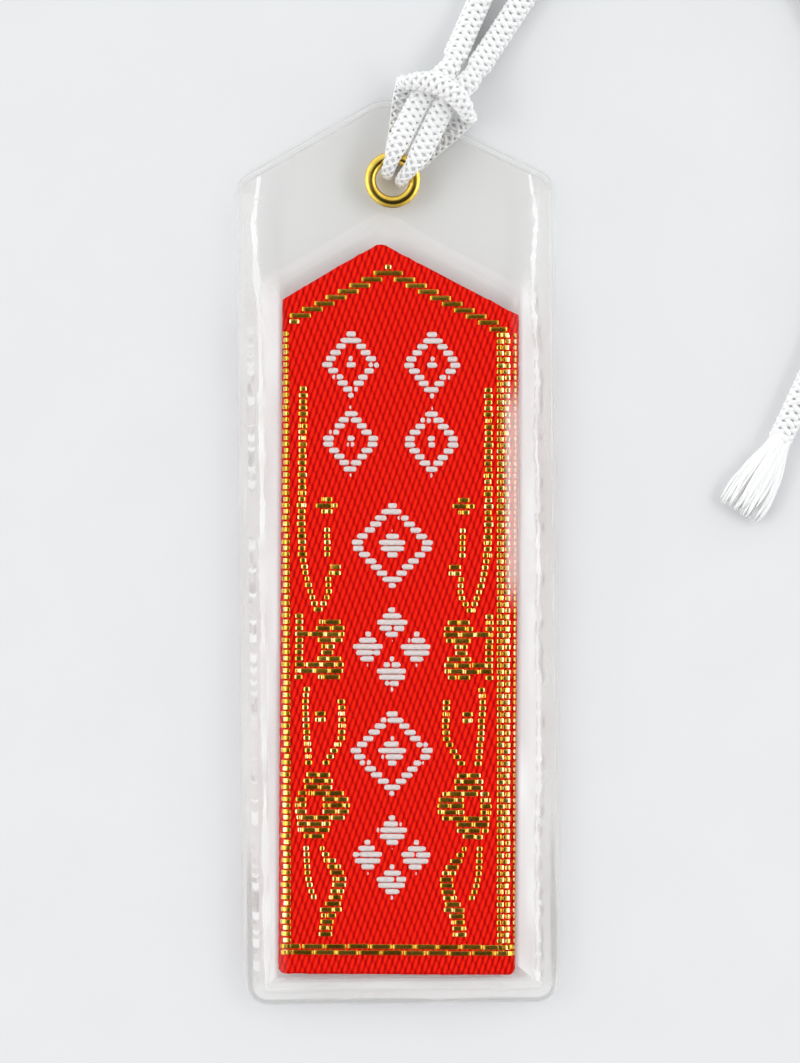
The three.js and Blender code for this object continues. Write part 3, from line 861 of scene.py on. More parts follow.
            spin = np.cos(ring)[:, None] * sides[:, None] + np.sin(ring)[:, None] * UP
            tubes = middle[:, :, None] + thin * spin[None]
            shell.grid(tubes, closed_columns=True, capped=True, lift=1.0, across=0.0)
        return settle(shell.build(name), yarn, "cord", "cord", f"cord_{name}")


# The sheath


@dataclass(frozen=True)
class WeldLook:
    """One side's weld: its bead's middle along the sheath, and its stripes' places, widths and shares; the
    stripes are painted highlights and painted shade.
    """

    places: Route
    core: float
    lumps: float
    sway: float
    bead: float
    band: Triple
    rungs: Triple
    lines: Route
    shade: float
    rim: float
    inner_light: float
    wash: float
    seed: int


@dataclass(frozen=True)
class Lie:
    """Where a film lies: its two corners, its seam's height, its bulge, and how far its slopes step in."""

    low: Array
    high: Array
    seam: float
    rise: float
    step: float


@dataclass
class Sheath:
    """Two clear films round one seam: a flat rim with a welded bead, and a pocket over the strip."""

    film: float = 0.3
    seam_gap: float = 0.03
    left_slope: float = 29.2
    right_slope: float = 26.2
    apex_radius: float = 3.0
    shoulder_radius: float = 2.2
    foot_radius: float = 2.4
    foot_share: float = 1.85 / 2.2
    mouth_step: float = 0.45
    edge_round: float = 0.1
    edge_fade: float = 0.24
    bead_inset: float = 1.8
    bead_width: float = 0.40
    bead_height: float = 0.08
    sheet_wave: float = 0.02
    pocket_half: float = 12.08
    pocket_foot: float = -38.955
    pocket_peak: Pair = (-1.40, 30.35)
    pocket_left_slope: float = 29.73
    pocket_right_slope: float = 28.12
    pocket_sharpness: float = 7.0
    front_ramps: tuple[float, ...] = (1.3, 2.1, 0.72, 2.1, 1.3)
    back_ramps: tuple[float, ...] = (1.05, 1.38, 0.62, 1.38, 1.05)
    hole: Pair = (-0.2, 33.225)
    hole_radius: float = 2.05
    side_steps: tuple[int, ...] = (46, 264, 112, 264, 46)
    arc_steps: int = 10
    ray_steps: int = 34
    outer_insets: tuple[float, ...] = (
        4.1, 3.7, 3.3, 3.0, 2.75, 2.55, 2.4, 2.28, 2.16, 2.04, 1.94, 1.85, 1.76, 1.67, 1.58, 1.48, 1.38,
        1.26, 1.12, 0.9, 0.5, 0.34, 0.22, 0.1, 0.06, 0.025, 0.0)
    inner_insets: tuple[float, ...] = (0.0, 0.1, 0.22, 0.34, 0.5, 1.2, 1.8, 2.3, 2.7, 3.1, 3.6, 4.1)
    lip_insets: tuple[float, ...] = (0.02, 0.05, 0.10, 0.15, 0.22, 0.32, 0.42, 0.50, 0.58, 0.68, 0.80)
    bead_insets: Triple = (0.87, 2.9, 0.07)
    inner_light_insets: Triple = (2.98, 5.1, 0.16)
    left_weld: WeldLook = WeldLook(
        places=((-38.6, 2.20), (15.0, 2.20), (21.0, 2.15), (23.3, 1.95), (26.0, 1.80), (29.5, 1.63),
                (31.5, 1.92), (33.8, 2.25)),
        core=0.25, lumps=0.07, sway=0.04, bead=0.72, band=(2.30, 0.55, 0.42), rungs=(0.88, 1.70, 0.74),
        lines=((0.12, 0.06, 0.25), (0.72, 0.09, 0.42)), shade=0.0, rim=0.36, inner_light=0.74, wash=0.0, seed=90)
    right_weld: WeldLook = WeldLook(
        places=((-37.6, 2.25), (-20.0, 1.95), (10.0, 1.80), (20.0, 1.85), (23.3, 2.10), (27.9, 1.69),
                (31.0, 1.93), (33.6, 2.30)),
        core=0.13, lumps=0.17, sway=0.10, bead=0.70, band=(2.2, 0.4, 0.36), rungs=(1.7, 2.4, 0.55),
        lines=((0.10, 0.06, 0.25), (0.50, 0.07, 0.45)), shade=0.30, rim=0.26, inner_light=0.80, wash=0.40,
        seed=110)
    weld_rise: float = 0.13
    weld_top: float = 34.2
    weld_foot: float = 1.7
    skin_sink: float = 0.01
    skin_depth: float = 0.04
    slim_from: float = 22.0
    bead_end: float = 31.75
    head_rows: Pair = (31.15, 33.8)
    head_fade: Pair = (31.2, 33.75)
    head_half: float = 0.44
    head_share: float = 0.92
    # Where the weld's painted highlights lie along the foot, where the grey painted shade lies round the
    # lower corners, and the lip lines' share
    foot_bead: float = 0.24
    foot_inner_light: float = 0.54
    foot_rim: float = 0.48
    corner_shade_from: float = -18.0
    corner_shade_inset: float = 0.76
    corner_shade_share: float = 0.55
    lip_share: float = 0.28
    wash_rows: Pair = (-6.0, 16.0)
    wash_end: float = 4.95
    strip_foot: float = 3.2
    strip_edge: float = 3.8
    strip_lean: float = 0.01518
    strip_middle: float = -5.325

    def build(self) -> None:
        """Makes and dresses both films, which let light pass freely, and their weld, whose skins carry
        painted highlights and painted shade.
        """
        vinyl = ClearVinyl().material()
        for face in Face:
            film = settle(self.film_piece(face), vinyl, "sheath", "vinyl", face.node)
            film.visible_shadow = film.visible_diffuse = False
        painted_vinyl = PaintedVinylLight().material()
        settle(self.weld("weld"), painted_vinyl, "sheath", "vinyl")
        settle(self.lip("lip"), painted_vinyl, "sheath", "vinyl")
        for name, side, look in (("left", -1.0, self.left_weld), ("right", 1.0, self.right_weld)):
            settle(self.head(f"weld_head_{name}", side, look), painted_vinyl, "sheath", "vinyl")

    def lie(self, face: Face) -> Lie:
        """Returns where a film lies, in millimetres, from its node's box."""
        low, high = (np.array(corner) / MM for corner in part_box(face.node))
        seam, far = (low[2], high[2]) if face is Face.FRONT else (high[2], low[2])
        rise = abs(far - seam) - self.film - self.seam_gap / 2.0
        return Lie(low, high, seam, rise, self.mouth_step if face is Face.FRONT else 0.0)

    def slopes(self, left: float, right: float) -> Array:
        """Returns outward normals of left slope, left side, foot, right side and right slope."""
        left, right = math.radians(left), math.radians(right)
        return np.array([(-math.sin(left), math.cos(left)), (-1.0, 0.0), (0.0, -1.0), (1.0, 0.0),
                         (math.sin(right), math.cos(right))])

    def outline(self, inset: float, lie: Lie) -> tuple[Array, Array]:
        """A film's edge moved in: straight sides, and arcs about the corners of the sides moved in further.

        Args:
            inset: how far in from the edge.
            lie: where the film lies.

        Returns:
            Points round the outline, starting beside the apex, and their outward normals.
        """
        low, high = lie.low, lie.high
        normals = self.slopes(self.left_slope, self.right_slope)
        tan_left = math.tan(math.radians(self.left_slope))
        tan_right = math.tan(math.radians(self.right_slope))
        drop = (high[0] - low[0]) / (1.0 / tan_left + 1.0 / tan_right)
        off = np.linalg.solve(normals[[0, 4]], np.full(2, self.apex_radius))
        peak = np.array([low[0] + drop / tan_left, high[1] + off[1] - self.apex_radius])
        left, right = normals[0] @ peak - lie.step, normals[4] @ peak - lie.step
        reaches = np.array([left, -low[0], -low[1], high[0], right])
        reaches = reaches - inset * np.array([1.0, 1.0, self.foot_share, 1.0, 1.0])
        radii = np.array([self.shoulder_radius, self.foot_radius, self.foot_radius, self.shoulder_radius,
                          self.apex_radius])
        radii = np.maximum(radii - inset, self.edge_round)
        following = np.roll(normals, -1, axis=0)
        moved = np.stack([reaches - radii, np.roll(reaches, -1) - radii], axis=1)
        centres = np.linalg.solve(np.stack([normals, following], axis=1), moved[..., None])[..., 0]
        start = np.arctan2(normals[:, 1], normals[:, 0])
        turn = np.mod(np.arctan2(following[:, 1], following[:, 0]) - start, TURN)
        points, outward = [], []
        for i, steps in enumerate(self.side_steps):
            first = centres[i - 1] + radii[i - 1] * normals[i]
            last = centres[i] + radii[i] * normals[i]
            angle = start[i] + turn[i] * open_steps(1.0, self.arc_steps)
            arc = np.stack([np.cos(angle), np.sin(angle)], axis=1)
            side = first + open_steps(1.0, steps)[:, None] * (last - first)
            points += [side, centres[i] + radii[i] * arc]
            outward += [np.repeat(normals[i][None], steps, axis=0), arc]
        return np.concatenate(points), np.concatenate(outward)

    def rings(self, insets: Array, lie: Lie) -> Array:
        """Returns the outline's points at each of some insets."""
        return np.stack([self.outline(inset, lie)[0] for inset in insets])

    def crown(self, x: Array, y: Array, face: Face) -> Array:
        """How far a place is up the pocket: 0 on the rim, 1 over the strip, a smooth step across each ramp.

        A soft maximum of the distances from the pocket's five sides decides, so its corners are round.

        Args:
            x: places across.
            y: places along.
            face: which film.

        Returns:
            Shares from 0 to 1.
        """
        normals = self.slopes(self.pocket_left_slope, self.pocket_right_slope)
        peak = np.array(self.pocket_peak)
        reaches = np.array([normals[0] @ peak, self.pocket_half, -self.pocket_foot, self.pocket_half,
                            normals[4] @ peak])
        outside = x[..., None] * normals[:, 0] + y[..., None] * normals[:, 1] - reaches
        ramps = np.array(self.front_ramps if face is Face.FRONT else self.back_ramps)
        sharp = self.pocket_sharpness
        depth = np.log(np.exp(np.clip(sharp * outside / ramps, -60.0, 60.0)).sum(axis=-1)) / sharp
        return eased(-depth)

    def bead(self, insets: Array, along: Array, share: Array, face: Face) -> Array:
        """Height of the welded bead: a round ridge whose place, width and height wander along the seam.

        Small ripples run across the rim beside it where the film was drawn in.

        Args:
            insets: distance in from the edge, one for each row.
            along: distance along the edge, one for each column.
            share: how much of the weld each column has.
            face: which film.

        Returns:
            Heights, by row and column.
        """
        seed = 20 if face is Face.FRONT else 40
        insets = insets[:, None]
        middle = self.bead_inset + 0.16 * soft_noise(along / 6.0, seed)
        middle = middle + 0.07 * soft_noise(along / 1.3, seed + 1)
        width = self.bead_width * (1.0 + 0.3 * soft_noise(along / 2.4, seed + 2))
        height = self.bead_height * share * (
            0.75 + 0.45 * soft_noise(along / 1.9, seed + 3) + 0.35 * soft_noise(along / 0.7, seed + 4))
        place = np.clip((insets - middle) / width, -1.0, 1.0)
        ridge = np.maximum(height, 0.0) * (0.5 + 0.5 * np.cos(math.pi * place))
        ripple = np.maximum(soft_noise(along / 0.75, seed + 5) - 0.35, 0.0) * share
        swell = 0.05 * soft_noise(along / 1.5, seed + 6) * share
        ridge = ridge + 0.06 * ripple * between(insets, 0.7, 1.8, 0.5, 0.4)
        return ridge + swell * between(insets, 1.9, 3.4, 0.4, 0.8)

    def film_piece(self, face: Face) -> Piece:
        """One film: rings inside the edge, then straight rays to the eyelet's hole, on both its surfaces.

        Its height is the seam's, plus the pocket's crown, plus the bead on the outer surface. Its solid
        value fades out towards the edge.

        Args:
            face: which film.

        Returns:
            The piece.
        """
        lie = self.lie(face)
        edge, outward = self.outline(0.0, lie)
        share = 1.0 - eased((outward[:, 1] - 0.1) / 0.5)
        outer, inner = np.array(self.outer_insets), np.array(self.inner_insets)
        rays = self.rays(self.outline(outer[0], lie)[0])
        top = np.concatenate([rays, self.rings(outer, lie)])
        bottom = np.concatenate([self.rings(inner, lie), rays[::-1]])
        beads = np.zeros(top.shape[:2])
        beads[len(rays):] = self.bead(outer, distances(edge), share, face)
        drop = np.zeros((len(top), 1))
        drop[len(rays):, 0] = self.rounded(outer)
        waves = -self.sheet_wave * (1.0 + soft_noise(top[..., 0] / 6.0, 60 + face.value, top[..., 1] / 9.0))
        waves[:4] = 0.0
        outside = self.film + lie.rise * self.crown(top[..., 0], top[..., 1], face) + beads - drop + waves
        inside = lie.rise * self.crown(bottom[..., 0], bottom[..., 1], face)
        heights = lie.seam + face.value * (self.seam_gap / 2.0 + np.concatenate([outside, inside]))
        points = np.concatenate([np.concatenate([top, bottom]), heights[..., None]], axis=-1)
        inset = np.concatenate([np.ones(len(rays)), outer, inner, np.ones(len(rays))])[:, None]
        solid = eased((inset - self.edge_round) / self.edge_fade)
        if face is Face.FRONT:
            points = points[:, ::-1]
        shell = Shell().grid(points, closed_rows=True, closed_columns=True, solid=solid)
        return shell.build(f"film_{face.name.lower()}")

    def rounded(self, inset: Array) -> Array:
        """Returns how far a film's face drops near its cut edge: a quarter of a circle."""
        corner = np.clip(1.0 - inset / self.edge_round, 0.0, 1.0)
        return self.edge_round * (1.0 - np.sqrt(1.0 - corner**2))

    def rays(self, ring: Array) -> Array:
        """Straight lines from the hole's edge to a ring, with short steps near the hole.

        Args:
            ring: the points that the lines end on.

        Returns:
            Places by step and ring point, without the ring itself.
        """
        hole = np.array(self.hole)
        start = hole + self.hole_radius * unit(ring - hole)
        share = open_steps(1.0, self.ray_steps)[:, None, None] ** 2.0
        return start + share * (ring - start)

    def weld(self, name: str) -> Piece:
        """Returns the weld down both sides and along the foot: a skin with both sides' painted highlights
        and painted shade.
        """
        inner = [np.arange(*insets) for insets in (self.bead_insets, self.inner_light_insets)]
        edge, outward = self.outline(0.0, self.lie(Face.FRONT))
        inside = (outward[:, 1] < 0.35) & (edge[:, 1] < self.weld_top)
        return self.skin(name, inside, np.concatenate([self.lip_insets, *inner]), self.both_hazes)

    def lip(self, name: str) -> Piece:
        """Returns the rolled edge of both top slopes: a skin with fine grey lines of painted shade and a
        pale line of painted highlight.
        """
        _, outward = self.outline(0.0, self.lie(Face.FRONT))
        return self.skin(name, outward[:, 1] > 0.3, np.array(self.lip_insets), self.edge_haze)

    def head(self, name: str, side: float, look: WeldLook) -> Piece:
        """The head of a side's bead, which runs on straight above the shoulder: a patch about its middle,
        whitened as a painted highlight.

        Args:
            name: the piece's name.
            side: -1 for the left side, 1 for the right.
            look: the side's weld.

        Returns:
            The piece.
        """
        row = np.linspace(*self.head_rows, 40)[:, None]
        offset = np.linspace(-self.head_half, self.head_half, 17)[None]
        line, lie = np.array(look.places), self.lie(Face.FRONT)
        middle = np.interp(row, line[:, 0], line[:, 1])
        half = look.core * (0.95 + 0.3 * soft_noise(row / 0.9, look.seed + 8))
        bead = 1.0 - eased((np.abs(offset) / half - 0.5) / 0.8)
        bead = bead * between(row, *self.head_fade, 0.5, 0.35)
        x = (lie.high if side > 0.0 else lie.low)[0] - side * (middle + offset)
        y = np.broadcast_to(row, x.shape)
        return self.layer(name, x, y, 0.0, self.head_share * bead, bead, np.zeros_like(bead))

    def skin(self, name: str, inside: Array, insets: Array,
             look: Callable[..., tuple[Array, ...]]) -> Piece:
        """A thin closed skin that follows a stretch of the front film's outline.

        Args:
            name: the piece's name.
            inside: which points of the outline the stretch covers.
            insets: distances in from the edge.
            look: gives painted light, bead and painted shade from inset, distance along, place and foot
                share.

        Returns:
            The piece.
        """
        lie = self.lie(Face.FRONT)
        outward = self.outline(0.0, lie)[1]
        count = np.arange(len(outward))
        wraps = inside[0] and inside[-1]
        turn = len(count) - np.nonzero(~inside)[0][-1] - 1 if wraps else 0
        order = np.nonzero(np.roll(inside, turn))[0]
        stations = np.arange(order[0], order[-1] + 0.01, 0.5)
        rings = np.roll(self.rings(insets, lie), turn, axis=1)
        outward = np.roll(outward, turn, axis=0)
        places = np.array([[np.interp(stations, count, ring[:, k]) for ring in rings] for k in (0, 1)])
        x, y = places.transpose(0, 2, 1)
        along = distances(np.stack([x[:, 0], y[:, 0]], axis=1))[:, None]
        foot = eased(-np.interp(stations, count, outward[:, 1]))[:, None]
        values = look(insets[None], along, x[:, :1], y[:, :1], foot)
        return self.layer(name, x, y, self.rounded(insets), *values)

    def layer(self, name: str, x: Array, y: Array, drop: Array | float, haze: Array, bead: Array,
              dusk: Array) -> Piece:
        """A thin closed sheet over a grid of places: its upper side lies just in the front film's face.

        Args:
            name: the piece's name.
            x: places across, by row and column.
            y: places along the sheath.
            drop: how far the film's rounded edge lies below its face.
            haze: how strong the layer is, as white painted highlight or grey painted shade.
            bead: shares of the bead's height.
            dusk: how grey it is, the grey being painted shade.

        Returns:
            The piece.
        """
        lie = self.lie(Face.FRONT)
        base = lie.seam + self.seam_gap / 2.0 + self.film + lie.rise * self.crown(x, y, Face.FRONT) - drop
        upper = np.stack([x, y, base - self.skin_sink + self.weld_rise * bead], axis=-1)
        lower = np.stack([x, y, base - self.skin_depth], axis=-1)[:, ::-5]
        points = np.concatenate([upper, lower], axis=1)
        clear = np.zeros(lower.shape[:2])
        haze, dusk = (np.concatenate([np.clip(value, 0.0, 0.96), clear], axis=1) for value in (haze, dusk))
        if np.cross(points[1, 0] - points[0, 0], points[0, 1] - points[0, 0])[2] > 0.0:
            points, haze, dusk = points[:, ::-1], haze[:, ::-1], dusk[:, ::-1]
        return Shell().grid(points, closed_columns=True, capped=True, haze=haze, dusk=dusk).build(name)

    def edge_haze(self, inset: Array, along: Array, *_: Array) -> tuple[Array, ...]:
        """Returns how strong a top slope's two grey lines of painted shade and the white line of painted
        highlight between are, and no bead.
        """
        grey = bell((inset - 0.09) / 0.08) + bell((inset - 0.62) / 0.11)
        white = bell((inset - 0.35) / 0.10)
        ends = between(along, 0.0, along.max(), 0.8, 0.8)
        share = self.lip_share * (grey + white) * (0.9 + 0.3 * soft_noise(along / 2.0, 97)) * ends
        return share, np.zeros_like(share), np.broadcast_to(eased((grey - white) / 0.3), share.shape)

    def both_hazes(self, inset: Array, along: Array, x: Array, row: Array,
                   foot: Array) -> tuple[Array, ...]:
        """Returns the left side's painted light, bead and painted shade running over into the right side's
        along the foot.
        """
        part = eased(x / 12.0 + 0.5)
        left = self.haze(-1.0, self.left_weld, inset, along, row, foot)
        right = self.haze(1.0, self.right_weld, inset, along, row, foot)
        ends = eased((row.max() - 0.15 - row) / 0.7)
        return tuple(ends * (one + part * (other - one)) for one, other in zip(left, right))

    def haze(self, side: float, look: WeldLook, inset: Array, along: Array, row: Array,
             foot: Array) -> tuple[Array, Array, Array]:
        """How much painted highlight the weld gets, how high its bead stands and where it is greyed with
        painted shade.

        The bead is a ridge round a middle line that wanders, strongest beside the eyelet. The band is a
        soft stripe beside it, the rungs are bent bars of noise, the lines are fine, and the inner light
        fills the film up to the strip. The wash lies over the strip's edge. The largest of them is the
        white share, all painted highlight and painted reflection. A grey line of painted shade bends round
        each lower corner, and painted shade greys the film between the rungs and beside the bead.

        Args:
            side: -1 for the left side, 1 for the right.
            look: the stripes' places and shares.
            inset: distance in from the edge, by column.
            along: distance along the edge, by row.
            row: places along the sheath, by row.
            foot: 0 on the side, 1 along the foot, by row.

        Returns:
            Shares of painted light, of the bead's height and of grey painted shade, by row and column.
        """
        seed, line = look.seed, np.array(look.places)
        slim, level = eased((row - self.slim_from) / 4.0), 1.0 - foot
        below = (1.0 - slim) * level
        wander = look.sway * (soft_noise(along / 4.0, seed) + 0.9 * soft_noise(along / 1.1, seed + 1))
        middle = np.interp(row, line[:, 0], line[:, 1]) * level
        middle = middle + self.weld_foot * foot + wander * (1.0 + foot)
        half = look.core * (1.0 + 0.45 * soft_noise(along / 1.6, seed + 2))
        half = half + look.lumps * np.maximum(soft_noise(along / 0.6, seed + 12), 0.0) * level
        half = half + 0.09 * bell((row - line[-1, 0] + 0.5) / 0.45)
        bead = 1.0 - eased((np.abs(inset - middle) / half - 0.5) / 0.9)
        bead = bead * eased((self.bead_end - row) / 0.4)
        strength = (0.9 * slim + look.bead * (1.0 - slim)) * (1.0 + 0.3 * soft_noise(along / 2.5, seed + 4))
        strength = strength * level + self.foot_bead * foot
        place, reach, share = look.band
        band = share * below * bell((inset - place - wander) / reach)
        first, last, share = look.rungs
        bow = 0.25 * ((2.0 * inset - first - last) / (last - first)) ** 2
        bars = eased(soft_noise((along + bow) / 0.42, seed + 3) / 0.5)
        ladder = share * below * between(inset, first, last, 0.15, 0.15)
        ladder = ladder * eased(0.95 + soft_noise(along / 5.0, seed + 5))
        lines = sum(white * bell((inset - place) / reach) for place, reach, white in look.lines)
        lines = lines * (0.8 + 0.4 * soft_noise(along / 2.0, seed + 6))
        strip = self.strip_edge - side * self.strip_lean * (row - self.strip_middle)
        cloud = 0.85 + 0.25 * soft_noise(along / 5.0, seed + 7, inset / 1.2)
        inner_light = look.inner_light * below * between(inset, middle, strip, 0.35, 0.5)
        inner_light = inner_light + self.foot_inner_light * foot * between(inset, 1.2, self.strip_foot, 0.6, 0.5)
        rim = (look.rim * level + self.foot_rim * foot) * between(inset, 0.05, middle + 0.4, 0.3, 0.4)
        wash = look.wash * between(inset, strip - 0.3, self.wash_end, 0.4, 0.6)
        wash = wash * between(row, *self.wash_rows, 4.0, 4.0)
        rim = rim * (1.0 - 0.5 * slim)
        # The white layers are painted highlights and painted reflections.
        layers = (bead * strength, band, ladder * bars, lines, inner_light * cloud, rim * cloud, wash)
        white = np.max(np.broadcast_arrays(*layers), axis=0)
        # Painted shade: fold is a grey line round the lower corners, pocket greys the gaps between rungs,
        # shade greys the film beside the bead.
        fold = eased((self.corner_shade_from - row) / 16.0) * (0.8 + 0.3 * soft_noise(along / 3.0, seed + 9))
        fold = self.corner_shade_share * fold * bell((inset - self.corner_shade_inset + 0.34 * foot) / 0.30)
        pocket = np.clip(0.5 + 0.8 * soft_noise(along / 0.9, seed + 10, inset / 0.3), 0.0, 1.0)
        shade = look.shade * below * bell((inset - middle + 0.40) / 0.20)
        shade = shade * np.clip(0.6 + 0.9 * soft_noise(along / 0.8, seed + 11), 0.0, 1.0)
        grey = np.maximum(np.maximum(fold, 0.42 * ladder * (1.0 - bars) * pocket), shade)
        return np.maximum(white, grey), bead * (1.0 - 0.5 * foot), eased((grey - 0.3 * white) / 0.24)


# The eyelet


@dataclass
class Eyelet:
    """A brass eyelet: rolled flange in front, barrel through both films, curl over a washer behind."""

    centre: Pair = (-0.2, 33.225)
    bore: float = 1.5
    wall: float = 0.25
    film: float = 0.3
    roll: float = 0.45
    curl_width: float = 0.5
    washer_play: float = 0.1
    around: int = 128
    line_steps: int = 4
    curve_steps: int = 12

    def build(self) -> None:
        """Makes and dresses the eyelet and its washer."""
        brass = PolishedBrass().material()
        low, high = (np.array(corner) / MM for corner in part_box("eyelet_barrel"))
        washer_low, washer_high = (np.array(corner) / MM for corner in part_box("eyelet_washer"))
        rim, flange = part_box("sheath_front")[0].z / MM + self.film, (high[0] - low[0]) / 2.0
        bore, barrel = self.bore, self.bore + self.wall
        lip, roll = (high[2] - rim) / 4.0, self.bore + self.roll
        half, full = barrel + self.curl_width / 2, barrel + self.curl_width
        back, front = washer_low[2], washer_high[2]
        eyelet = self.turned(
            "eyelet", (barrel, rim), [(flange - lip, rim)], [(flange, rim), (flange, rim + lip)],
            [(flange, high[2]), (roll, high[2])], [(bore, high[2]), (bore, rim)], [(bore, back)],
            [(bore, low[2]), (half, low[2])], [(full, back), (half, back)], [(barrel, back)],
            [(barrel, rim)])
        settle(eyelet, brass, "sheath", "brass", "eyelet_barrel")
        inner, outer = barrel + self.washer_play, (washer_high[0] - washer_low[0]) / 2.0
        edge = outer - (front - back) / 2.0
        washer = self.turned(
            "washer", (inner, back), [(edge, back)], [(outer, back), (outer, front)], [(inner, front)],
            [(inner, back)])
        settle(washer, brass, "sheath", "brass", "eyelet_washer")

    def turned(self, name: str, start: Pair, *legs: list[Pair]) -> Piece:
        """A closed profile of radius and height, carried once round the eyelet's axis.

        A leg of one point is straight. A leg of two is a quadratic curve that the first of them pulls on.

        Args:
            name: the piece's name.
            start: the profile's first point.
            *legs: the profile's further points, anticlockwise and back to the first one.

        Returns:
            The piece.
        """
        found, first = [], np.array(start)
        for *pull, last in legs:
            share = open_steps(1.0, self.curve_steps if pull else self.line_steps)[:, None]
            last = np.array(last)
            if pull:
                drawn = np.array(pull[0]) * 2.0 * share * (1.0 - share)
                found.append(first * (1.0 - share) ** 2 + drawn + last * share**2)
            else:
                found.append(first * (1.0 - share) + last * share)
            first = last
        radius, height = np.split(np.concatenate(found), 2, axis=1)
        angle = open_steps(TURN, self.around)
        x, y = self.centre[0] + radius * np.cos(angle), self.centre[1] + radius * np.sin(angle)
        points = np.stack(np.broadcast_arrays(x, y, height), axis=-1)
        return Shell().grid(points, closed_rows=True, closed_columns=True).build(name)


# The insert


@dataclass(frozen=True)
class Float:
    """How one kind of thread lies on the ground: its half sizes, rise, dip, ends and section."""

    half_height: float
    half_thickness: float
    base: float
    dip: float
    end: float
    section: Route
    stations: int = 8
    jitter: float = 0.012
    tilt: float = 0.06
    tip: float = 0.62


FLAT_THREAD = (
    (1.0, 0.0), (0.97, 0.9), (0.85, 1.0), (-0.85, 1.0), (-0.97, 0.9), (-1.0, 0.0), (-0.9, -1.0),
    (0.9, -1.0))
ROUND_THREAD = ((1.0, 0.0), (0.5, 0.87), (-0.5, 0.87), (-1.0, 0.0), (-0.5, -0.87), (0.5, -0.87))


